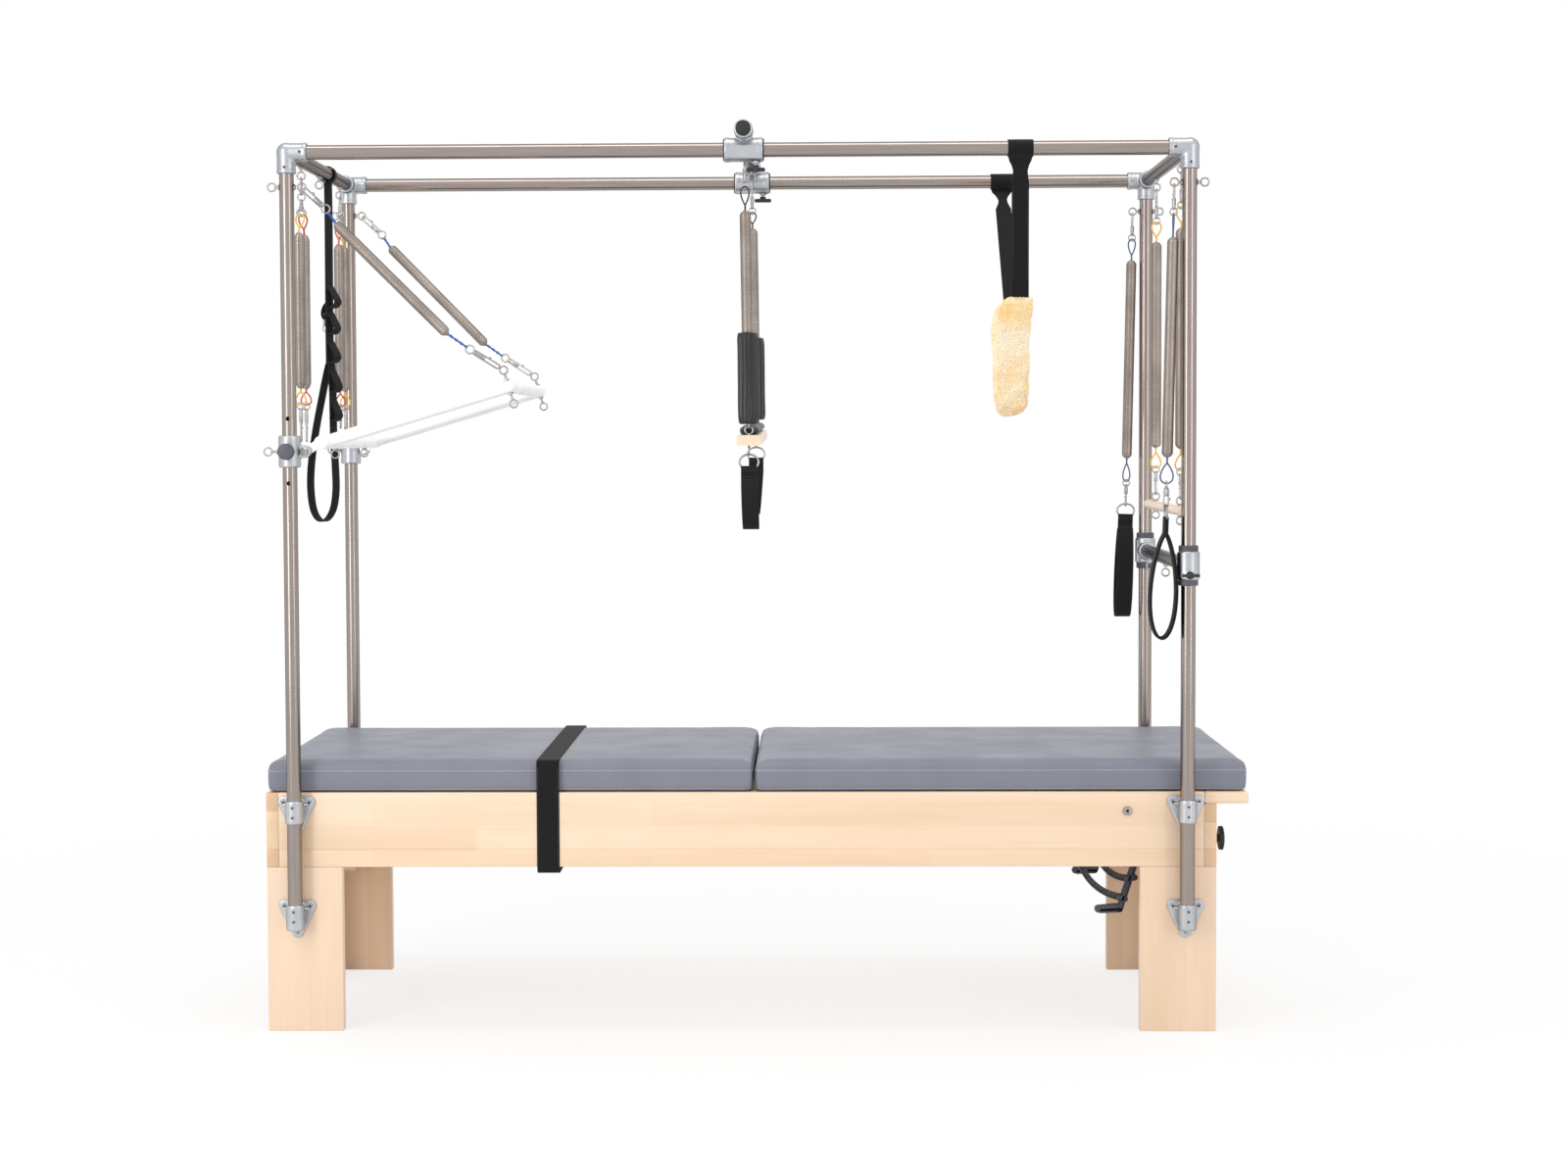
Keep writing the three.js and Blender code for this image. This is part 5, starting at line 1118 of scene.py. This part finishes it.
def trapeze_middle(y):
    return at(TRAPEZE_X, y, 1317 + 6.5 * y / 350)


def make_trapeze():
    body = "trapeze_bar"
    board = sweep([trapeze_middle(y) for y in (-350, -200, 0, 200, 350)], band_section(23, 54, 3.5, 4), across=X)
    piece("trapeze_bar_board", body, DOWEL, [board], [body])
    eyes, rings, straps = [], [], []
    for s, f in SIDES:
        y = f * TRAPEZE_Y
        high, low = trapeze_middle(y) + Z * 11.5, trapeze_middle(y) - Z * 11.5
        eyes += [ring(high + Z * 11, Y, EYE, EYE_WIRE), span(high, Z, -1, 3.5, 3.2, 0.4, 20),
                 ring(low - Z * 11, X, EYE, EYE_WIRE), span(low, Z, 1, -3.5, 3.2, 0.4, 20)]
        centre = low - Z * (11 + EYE + 14)
        rings.append(d_ring(centre, X))
        neck_top = centre - Z * 14
        neck_end = neck_top - Z * 30
        end = at(TRAPEZE_X + (4 if f < 0 else -9), y, 1113 + 6.5 * (1 + f))
        along = (end - neck_end).normalized()
        neck = [neck_top + Z * 3, neck_top + Z * 2.4, neck_top - Z * 4, neck_end]
        straps.append(sweep(neck, lambda i: band_section((3, 8, 7, 5.4)[i], 36), across=X))
        loop = drop_path(neck_end - along * 3, along, Y, (end - neck_end).length, 40, 0.5, 64)
        straps.append(sweep(loop, band_section(3, 36), True, X))
        for k, z in enumerate((3, 8, 22, 27)):
            line = [at(TRAPEZE_X + a, y - 3.6, neck_top.z - z) for a in range(-15, 16, 2)]
            stitches(f"trapeze_cuff_{s}_stitches_{k}", body, line)
    piece("trapeze_bar_eyes", body, ZINC, eyes)
    piece("trapeze_bar_rings", body, ZINC, rings)
    piece("trapeze_bar_cuffs", body, WEBBING, straps)

    for s, f in SIDES:
        y = f * TRAPEZE_Y
        top = at(CROSSBAR_X, y, CROSSBAR_Z - TUBE_EYE_REACH)
        bottom = trapeze_middle(y) + Z * 22.5
        way = (bottom - top).normalized()
        hung_spring(f"trapeze_spring_{s}", top, bottom, (88.5, 138.5 if f < 0 else 125.5, 425, 574), BLACK_COAT,
                    ("trapeze_springs", body), Y, Y, halves=(9, 9))
        start, end = (top + way * ((drop - 6.5 * f) / -way.z) for drop in (396.5, 597.5))
        sleeve = raw(f"trapeze_spring_{s}_sleeve", [fluted_sleeve(start, end, 23)])
        settle(sleeve, LEATHER, 60)
        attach(sleeve, body)


def fluted_sleeve(top, bottom, radius, flutes=7):
    """Leather gathered round a spring: soft flutes that fade towards its turned-in ends."""
    along = (bottom - top).normalized()
    u = X - along * along.x
    u.normalize()
    w = along.cross(u)
    length = (bottom - top).length
    rows = [(0.62, 3), (0.66, 0.5), (0.8, 0), (0.93, 0.8)] + [(1, 3 + (length - 6) * k / 30) for k in range(31)]
    rows += [(0.93, length - 0.8), (0.8, length), (0.66, length - 0.5), (0.62, length - 3)]
    verts = []
    sides = flutes * 14
    for share, reach in rows:
        fade = min(1, max(0, min(reach, length - reach) / 14))
        for k in range(sides):
            angle = 2 * math.pi * k / sides
            wave = 0.5 + 0.5 * math.cos(flutes * angle + 0.5 * math.sin(reach / 37))
            drift = 0.6 * math.sin(3 * angle + reach / 29)
            size = radius * share + fade * (1.0 + drift * 0.6 - 3.2 * (1 - wave) ** 2) - (1 - fade) * 1.0
            verts.append(top + along * reach + (u * math.cos(angle) + w * math.sin(angle)) * size)
    faces = skin(len(rows), sides)
    for i in (0, len(rows) - 1):
        verts.append(top + along * rows[i][1])
        centre = len(verts) - 1
        for k in range(sides):
            faces.append((i * sides + k, i * sides + (k + 1) % sides, centre))
    return verts, faces, None


# Roll-back bar with its sleeves and levers
def make_roll_back():
    body = "roll_back_bar"
    z = ROLL_BACK_Z
    piece("roll_back_bar_tube", body, STAINLESS_Y,
          [tube(at(POST_X, -POST_Y + 18, z), at(POST_X, POST_Y - 18, z))], [body])
    eyes, bushes = [], []
    for y in (-5, 279):
        eyes += eye_bolt(at(POST_X, y, z), -Z, TUBE_EYE_REACH)
    for s, f in SIDES:
        middle = at(POST_X, f * POST_Y, z)
        out = Y * f
        hole = middle - Z * 20
        cast(f"roll_back_sleeve_{s}", body, CAST, [
            span(middle, Z, -32, 32, 24.5, 4, 56), span(middle, out, -14, -44, 20.4, 1.5, 48),
            span(middle, out, -38, -46, 21.5, 1.5, 48), span(hole, out, 18, 24.6, 9, 0.6, 32),
        ], [span(middle, Z, -60, 60, TUBE + 0.6, 0.1, 56), rod(hole, hole + out * 60, 4.5, 0.1, 24),
            span(middle, out, -17.5, -80, TUBE + 0.1, 0.1, 56)], 1.8, 3)
        bush = [(TUBE + 0.6, 30), (21.5, 30), (21.5, 42.5), (20, 44), (TUBE + 0.6, 44)]
        bushes += [lathe(bush, middle, way, 56, ring=True) for way in (Z, -Z)]
        name = f"roll_back_lever_{s}"
        arm = hole + out * 40.4
        grip = [arm + X * a + out * b for a, b in ((-19, 0), (-9, 0.3), (0, 0), (9, 0.3), (19, 0))]
        piece(f"{name}_handle", name, BLACK_PLASTIC, [
            lathe([(0, 25), (7.5, 25), (8.5, 26), (8.5, 35), (7, 37), (0, 37)], hole, out, 36),
            rod(hole + out * 30, arm + out * 3.4, 4.4, 1, 24), wire(smooth_path(grip, 6), 3.6, sides=16),
        ], [name])
        piece(f"{name}_stem", name, ZINC, [span(hole, out, 16.9, 26, 3.9, 0.4, 24)])
    piece("roll_back_bar_eyes", body, ZINC, eyes)
    piece("roll_back_bar_bushings", body, GREY_PLASTIC, bushes)


# Foot springs with their loops
def make_foot_springs():
    for s, f in SIDES:
        ring_x, ring_z, centre_x, half, bottom, coil_drop, across = (
            (934, 1152, 925, 33, 872, 595, X) if f < 0 else (935, 1135, 927, 42, 870, 604, Y)
        )
        body = f"foot_loop_{s}"
        widthways = Y if f < 0 else X
        y = f * POST_Y
        centre = at(ring_x, y, ring_z)
        piece(f"{body}_ring", body, ZINC, [d_ring(centre, widthways)])
        neck_top = centre - Z * 14
        along = (at(centre_x, y, bottom) - neck_top).normalized()
        neck_end = neck_top + along * 36
        strap = [sweep([neck_top - along * 3, neck_top - along * 2.2, neck_top + along * 5, neck_end],
                       lambda i: band_section((4, 9, 9, 9)[i], 36), across=widthways)]
        length = (neck_end.z - bottom) / -along.z
        loop = drop_path(neck_end - along * 3, along, across, length, half, 0.5, 72)
        strap.append(sweep(loop, band_section(6, 39, 2.2), True, widthways))
        piece(f"{body}_strap", body, WEBBING, strap, [body])
        for k, reach in enumerate((4, 9, 26, 31)):
            for side in (-1, 1):
                start = neck_top + along * reach
                line = [start + widthways * a + across * side * 4.7 for a in range(-15, 16, 2)]
                stitches(f"{body}_stitches_{k}_{'ab'[side > 0]}", body, line)
        loops, halves = ((Y, X), (8.5, 14)) if f < 0 else ((X, X), (8.5, 8.5))
        hung_spring(f"foot_spring_{s}", at(POST_X - POST_EYE_REACH, y, POST_EYE_Z),
                    centre + Z * (14 - EYE + EYE_WIRE - D_WIRE), (72, 121, coil_drop, coil_drop + 54),
                    STEEL_BLUE, (f"foot_spring_{s}", body), Y, across, loops, halves)


# Roll-down bar: a turned dowel on two springs
def make_roll_down():
    body = "roll_down_bar"
    start, end = at(POST_X, -285, ROLL_DOWN_Z), at(POST_X, 316, ROLL_DOWN_Z)
    piece("roll_down_bar_dowel", body, DOWEL, [rod(start, end, 11.5, 3, 40)], [body])
    eyes = []
    for s, y in (("front", -250), ("rear", 178)):
        for way in (Z, -Z):
            eyes += eye_bolt(at(POST_X, y, ROLL_DOWN_Z), way, 22, 11.3)
        top, bottom = at(POST_X, y, TOP_RAIL - TUBE_EYE_REACH), at(POST_X, y, ROLL_DOWN_Z + 22)
        hung_spring(f"roll_down_spring_{s}", top, bottom, (87.5, 131.5, 617.5, 663), YELLOW,
                    ("roll_down_springs", body), Y, Y, halves=(11.5, 12))
    piece("roll_down_bar_eyes", body, ZINC, eyes)


# Spare springs in pairs
def make_stored():
    for s, y, places, coil_start, coil_end, loop_end, end in (
        ("front", -214, (-33, 29), 130.5, 475.5, 508.5, 595.5),
        ("rear", 262, (-20, 46), 121.5, 473.5, 507.5, 564.5),
    ):
        body = f"stored_springs_{s}"
        top = at(-POST_X, y, TOP_RAIL - TUBE_EYE_REACH)
        shared = top - Z * 55.5
        hooks = snap_hook(top - Z * SEAT, shared, Y)
        looks, coils = {}, []
        for k, across in enumerate(places):
            below = lambda drop: top + Y * across - Z * drop
            way = (below(coil_start) - shared)
            reach = way.length
            way.normalize()
            hooks += snap_hook(below(end), below(loop_end), Y)
            colour = (YELLOW, RED)[k] if s == "front" else (RED, YELLOW)[k]
            split = below(coil_start) - way * 44
            hooks += snap_hook(shared - way * 2, split, Y)
            looks.setdefault(colour, []).extend(wire_loop(below(coil_start), -way, X, 48, 9.5))
            looks[colour].extend(wire_loop(below(coil_end), -Z, X, loop_end - coil_end + 4.7, 11.5, 8))
            coils.append(coil(f"{body}_coil_{k}", below(coil_start), below(coil_end), 12, 4))
        piece(f"{body}_hooks", body, ZINC, hooks)
        for colour, shells in looks.items():
            piece(f"{body}_{colour.name.split('_')[-1]}_loops", body, colour, shells)
        for k, made in enumerate(coils):
            seat(made, body, "spring_wire", [body] if k == 0 else ())


# Webbing: hitches, the sling and the long strap
def hitch(centre, along, width, thick, inner=TUBE + 0.3):
    """A band wrapped round a tube, its rims eased."""
    profile = [(inner, -width / 2), (inner + thick - 0.6, -width / 2), (inner + thick, -width / 2 + 0.8),
               (inner + thick, width / 2 - 0.8), (inner + thick - 0.6, width / 2), (inner, width / 2)]
    return lathe(profile, centre, along, 56, ring=True)


def make_sling():
    body = "sling"
    shares = [(0.9655, 0.5532), (0.8621, 0.6064), (0.6207, 0.727), (0.3793, 0.8582), (0.1954, 0.9645), (0, 1)]
    place = lambda y, z: at(SLING_X + y * 0.0165, y, z)  # it hangs a little askew
    half = [place(-SLING_HALF * a, TOP_RAIL - SLING_DROP * b) for a, b in shares]
    rear = [place(-p.y, p.z) for p in half[:-1]][::-1]
    path = smooth_path(half + rear, 9)
    count, sides, verts = len(path) - 1, 40, []
    for i, p in enumerate(path):
        before, after = path[max(i - 1, 0)], path[min(i + 1, count)]
        tangent = (after - before).normalized()
        normal = X.cross(tangent)
        share = min(i, count - i) / count
        ease = min(1, share / 0.16 + 0.5) ** 0.7
        side = 14 * max(0, 1 - share / 0.14) ** 1.5
        sag = 1 - 0.2 * max(0, 1 - abs(i / count - 0.5) / 0.1)
        for a, b in circle(1, sides):
            wide = math.copysign(abs(a) ** 0.8, a) * 36 * ease * sag
            thick = math.copysign(abs(b) ** 0.8, b) * 10.5 * min(1, share / 0.03 + 0.45)
            point = p + X * (wide + side + 1) + normal * thick
            lump = noise.noise(point / 30) * 4 + noise.noise(point / 11) * 2.2
            verts.append(point + (X * a + normal * b) * lump)
    faces = skin(count + 1, sides) + ends_of(count + 1, sides)
    fleece = raw("sling_fleece", [(verts, faces, None)])
    grow(fleece, WOOL, {"Density": 75000.0, "Lock": 3.2 * MM, "Seed": 4, "Material": FLEECE})
    seat(fleece, body, "fleece", [body])
    straps = []
    for s, f in SIDES:
        top = place(f * POST_Y, TOP_RAIL - TUBE - 2)
        low = place(f * SLING_HALF * 0.95, TOP_RAIL - SLING_DROP * 0.56) + X * 13
        middle = (top + low) / 2 + (Y * -f + Z * -1.2) * 2
        straps.append(hitch(place(f * POST_Y, TOP_RAIL), X, 55, 3.2))
        knot = 32 if f < 0 else 20
        run = smooth_path([top, middle, low], 12)
        widths = [(0, 52), (12, 48), (26, knot), (44, knot), (62, 38), (1000, 38)]

        def gathered(i):
            reach = (run[i] - run[0]).length
            for (a, wa), (b, wb) in zip(widths, widths[1:]):
                if reach <= b:
                    width = wa + (wb - wa) * (reach - a) / (b - a)
                    break
            return band_section(3 + (52 - width) * (0.16 if reach < 55 else 0), width)

        straps.append(sweep(run, gathered, across=X))
        line = smooth_path([top, middle, low], 8)
        turn = (low - top).normalized().cross(X).normalized()
        for k, offset in enumerate((-16, 16)):
            out = turn * (1.6 if turn.y * f > 0 else -1.6)
            stitches(f"sling_stitches_{s}_{k}", body, [p + X * offset + out for p in line[4:14]])
    piece("sling_straps", body, WEBBING, straps)


def make_long_strap():
    body = "long_strap"
    turn = math.pi / 6
    sideways = Vector((math.cos(turn), -math.sin(turn), 0))
    widthways = Vector((math.sin(turn), math.cos(turn), 0))
    place = lambda out, z: at(-POST_X, 111, z) + sideways * out
    # The loop's outline, as shares of its half width and of its height
    shares = [(0, 0), (0.09, 0.16), (0.103, 0.319), (0.115, 0.479), (0.167, 0.665), (0.18, 0.811), (0.064, 0.931),
              (-0.205, 1), (-0.487, 1), (-0.718, 0.936), (-0.82, 0.811), (-0.795, 0.665), (-0.641, 0.479),
              (-0.385, 0.266)]
    loop = [place(a * 78, 1500 - b * 376) for a, b in shares]
    bands = [sweep(smooth_path(loop, 7, True), band_section(3, 25), True, widthways)]
    neck = [place(0, TOP_RAIL - TUBE - 1.9), place(0.6, 1840), place(0, 1700), place(-0.6, 1580), place(0, 1495)]
    bands.append(sweep(smooth_path(neck, 8), band_section(5.6, 25, 1.4), across=widthways))
    for z in (1650, 1588, 1520, 1450, 1382):
        leg, out = (1, 24) if z > 1600 else (1, 22) if z > 1495 else (7, 19)
        arc = [(leg + out * share, z + up)
               for share, up in ((0, 30), (0.5, 14), (1, -4), (1, -13), (0.6, -21), (0, -22))]
        bands.append(sweep(smooth_path([place(*p) for p in arc], 7), band_section(3, 25), across=widthways))
    bands.append(hitch(at(-POST_X, 111, TOP_RAIL), Y, 25, 3.2, TUBE + 0.9))
    arc = [(0, 1640), (-9, 1632), (-15, 1618), (-12, 1604), (-2, 1600)]
    bands.append(sweep(smooth_path([place(*p) for p in arc], 7), band_section(3, 25), across=widthways))
    piece("long_strap_webbing", body, WEBBING, bands, [body])
    piece("long_strap_hook", body, ZINC, snap_hook(place(-14.5, 1616), place(-12, 1572), widthways))
    for k, z in enumerate((1500, 1486, 1556, 1432, 1366)):
        line = [place(1.5, z) + widthways * a + sideways * 3.4 for a in range(-10, 11, 2)]
        stitches(f"long_strap_stitches_{k}", body, line)


def make_mat_strap():
    y, low, high, r = HALF_W + 1.2, RAIL_BOTTOM - 14, PAD_BOTTOM + PAD_THICK + 1.2, 6
    outline = hull_outline([(-y + r, low + r), (y - r, low + r), (y - r, high - r), (-y + r, high - r)], r, 5)
    x = -425
    dense = resampled([at(x, a, b) for a, b in outline], 12)
    for p in dense:
        if p.z < RAIL_BOTTOM:
            p.y -= math.copysign(1, p.y) * 5 * (RAIL_BOTTOM - p.z) / 12
    band = sweep(dense, band_section(2.4, 50), True, X)
    piece("mat_strap_webbing", BODY, WEBBING, [band], ["mat_strap"])
    for k, offset in enumerate((-22, 22)):
        line = [p + X * offset for p in dense if p.y < -y + 3 and low + 8 < p.z < high - 8]
        stitches(f"mat_strap_stitches_{k}", BODY, [p - Y * 1.4 for p in line])


# Pads: foam under vinyl, blown up a little by a cloth simulation, then seamed
def pad_outline(x0, x1, half, inset, round_by, z):
    """A pad's outline seen from above, drawn in by an inset, with rounded corners."""
    points = []
    for cx, cy, quarter in ((x1, half, 0), (x0, half, 1), (x0, -half, 2), (x1, -half, 3)):
        mx = cx + (-1 if cx == x1 else 1) * (inset + round_by)
        my = cy - math.copysign(inset + round_by, cy)
        for k in range(9):
            angle = math.pi / 2 * (quarter + k / 8)
            points.append(at(mx + round_by * math.cos(angle), my + round_by * math.sin(angle), z))
    return points


def cushion_shell(x0, x1, half):
    """The cushion before it is blown up. Each ring is how far it is drawn in, and its share of the height."""
    rings = [(8, 0), (3, 0.04), (1, 0.1), (0, 0.3), (0, 0.68), (1.2, 0.8), (4, 0.9), (9, 0.95), (18, 0.972),
             (60, 0.99), (140, 1)]
    verts = []
    for inset, share in rings:
        round_by = PAD_CORNER + inset * (0.9 if share > 0.5 else 0)
        verts += pad_outline(x0, x1, half, inset, round_by, PAD_BOTTOM + (PAD_THICK - 1) * share)
    sides = len(verts) // len(rings)
    return verts, skin(len(rings), sides) + ends_of(len(rings), sides), None


def blown(obj, voxel, pressure, cap, box):
    """Voxel remesh, then 20 frames of cloth under pressure. Points move no further than a cap and stay in a box."""
    melt = obj.modifiers.new("even", "REMESH")
    melt.mode, melt.voxel_size = "VOXEL", voxel * MM
    settle(obj)
    ease = obj.modifiers.new("ease", "SMOOTH")
    ease.factor, ease.iterations = 0.5, 3
    settle(obj)
    before = np.array([v.co[:] for v in obj.data.vertices])
    cloth = obj.modifiers.new("cloth", "CLOTH")
    cloth.settings.quality = 5
    cloth.settings.use_pressure = True
    cloth.settings.uniform_pressure_force = pressure
    cloth.settings.effector_weights.gravity = 0
    cloth.settings.tension_stiffness = cloth.settings.compression_stiffness = 20
    cloth.settings.bending_stiffness = 3
    cloth.point_cache.frame_end = 20
    scene = bpy.context.scene
    for step in range(1, 21):
        scene.frame_set(step)
    bpy.context.view_layer.update()
    shaped = obj.evaluated_get(bpy.context.evaluated_depsgraph_get())
    after = np.array([v.co[:] for v in shaped.data.vertices])
    obj.modifiers.clear()
    scene.frame_set(1)
    step = after - before
    length = np.linalg.norm(step, axis=1, keepdims=True)
    after = before + step * np.minimum(1, cap * MM / np.maximum(length, 1e-9))
    low, high = (np.array(metres(p)[:]) for p in box)
    after = np.clip(after, low, high)
    obj.data.vertices.foreach_set("co", after.ravel())
    obj.data.update()
    finer = obj.modifiers.new("finer", "SUBSURF")
    finer.levels = finer.render_levels = 1
    return settle(obj)


def seam_path(obj, outline):
    """Points on a padded piece's skin, nearest to an outline."""
    path = []
    for p in outline:
        found, place, normal, _ = obj.closest_point_on_mesh(metres(p))
        back = place / MM
        path.append((Vector((back.x - ORIGIN_X, back.y, back.z)), normal.copy()))
    return path


def make_pads():
    ends = (("head", -HALF_L - 1.5, PAD_SPLIT - 0.6), ("foot", PAD_SPLIT + 0.6, LEDGE_END - 0.5))
    for e, x0, x1 in ends:
        # The shell is a little wide, because the remesh and the cloth draw it in. The box brings it to size.
        pad = raw(f"pad_{e}_cushion", [cushion_shell(x0 - 2, x1 + 2, PAD_HALF_W + 3.5)])
        blown(pad, 7, 4, 5, (at(x0, -PAD_HALF_W, PAD_BOTTOM), at(x1, PAD_HALF_W, PAD_BOTTOM + PAD_THICK + 1)))
        settle(pad, VINYL, 60)
        seat(pad, BODY, "pad_vinyl", [f"pad_{e}"])
        for label, up, inset in (("top", 47, 0), ("low", 4, 2)):
            outline = pad_outline(x0, x1, PAD_HALF_W, inset, PAD_CORNER, PAD_BOTTOM + up)
            path = [p - n * 0.35 for p, n in seam_path(pad, resampled(outline, 10))]
            # The piping is lighter grey than the pad: a painted highlight along the top and low seams.
            piece(f"pad_{e}_seam_{label}", BODY, PIPING_PAINTED_HIGHLIGHT, [wire(path, 1.5, True, 8)])


def make_trapeze_pad():
    half, wide = TRAPEZE_Y - 13, 25.5
    verts, sides, steps = [], 28, 60
    for i in range(steps + 1):
        y = -half + 2 * half * i / steps
        end = min(1, (half - abs(y)) / 22 + 0.25) ** 0.5
        for k in range(sides):
            angle = 2 * math.pi * k / sides
            a, b = math.cos(angle), math.sin(angle)
            dx = math.copysign(abs(a) ** 0.6, a) * (wide - 2)
            dz = (math.copysign(abs(b) ** 0.8, b) * 9.2 + 9.4) * end
            verts.append(trapeze_middle(y) + X * dx * (0.75 + 0.25 * end) + Z * (11.5 + max(dz, 0.2)))
    faces = skin(steps + 1, sides) + ends_of(steps + 1, sides)
    pad = raw("trapeze_bar_pad", [(verts, faces, None)])
    blown(pad, 5, 3, 3, (at(TRAPEZE_X - 26, -half, 1320), at(TRAPEZE_X + 26, half, 1356)))
    settle(pad, BLACK_VINYL, 60)
    seat(pad, "trapeze_bar", "pad_vinyl")


# Floor, light and backdrop
def seen_white(tree):
    """1 for what the camera, metal and glass see, which is the white background, and 0 for light on the object."""
    light = add(tree, "ShaderNodeLightPath").outputs
    seen = add(tree, "ShaderNodeMath", {0: light["Is Camera Ray"], 1: light["Is Glossy Ray"]}, operation="MAXIMUM")
    return add(tree, "ShaderNodeMath", {0: seen, 1: light["Is Transmission Ray"]}, operation="MAXIMUM")


def make_studio():
    bpy.ops.mesh.primitive_plane_add(size=40, location=(0, 0, 0))
    floor = bpy.context.object
    floor.name = "floor"
    material = bpy.data.materials.new("painted_studio_floor")
    material.use_nodes = True
    tree = material.node_tree
    shader = tree.nodes["Principled BSDF"]
    shader.inputs["Base Color"].default_value = linear("#F4F4F4")
    shader.inputs["Roughness"].default_value = 0.9
    shown = seen_white(tree)
    place = add(tree, "ShaderNodeTexCoord").outputs["Object"]
    distance = add(tree, "ShaderNodeVectorMath", {0: place}, operation="LENGTH").outputs["Value"]
    far = add(tree, "ShaderNodeMapRange", {0: distance, 1: 1.1, 2: 3.6, 3: 0.74, 4: 1.0})
    part = add(tree, "ShaderNodeMath", {0: shown, 1: far}, operation="MULTIPLY")
    glow = add(tree, "ShaderNodeEmission", {"Color": (1, 1, 1, 1), "Strength": 1.0})
    both = add(tree, "ShaderNodeMixShader", {0: part, 1: shader, 2: glow})
    tree.links.new(both.outputs[0], tree.nodes["Material Output"].inputs["Surface"])
    floor.data.materials.append(material)

    world = bpy.data.worlds.new("white_studio")
    bpy.context.scene.world = world
    world.use_nodes = True
    tree = world.node_tree
    shown = seen_white(tree)
    strength = add(tree, "ShaderNodeMix", {0: shown, 2: 0.92, 3: 1.0})
    backdrop = tree.nodes["Background"]
    backdrop.inputs["Color"].default_value = (1, 1, 1, 1)
    tree.links.new(strength.outputs[0], backdrop.inputs["Strength"])

    for name, place, aim, wide, tall, power in (
        ("key", (-2.6, -3.2, 2.1), (0, 0, 0.9), 0.8, 3.6, 44),
        ("fill", (3.4, -3.6, 2.0), (0, 0, 0.9), 0.8, 3.4, 24),
        ("top", (0, -0.6, 4.6), (0, 0, 0.6), 4.0, 0.9, 34),
    ):
        lamp = bpy.data.lights.new(name, "AREA")
        lamp.shape, lamp.energy, lamp.size, lamp.size_y = "RECTANGLE", power, wide, tall
        obj = linked(name, lamp)
        obj.location = place
        obj.rotation_euler = (Vector(aim) - Vector(place)).to_track_quat("-Z", "Y").to_euler()
    bpy.context.scene.view_settings.view_transform = "Standard"


make_table()
make_quadrants()
make_frame()
make_push_bar()
make_carriage()
make_trapeze()
make_roll_back()
make_foot_springs()
make_roll_down()
make_stored()
make_sling()
make_long_strap()
make_mat_strap()
make_pads()
make_trapeze_pad()
make_studio()
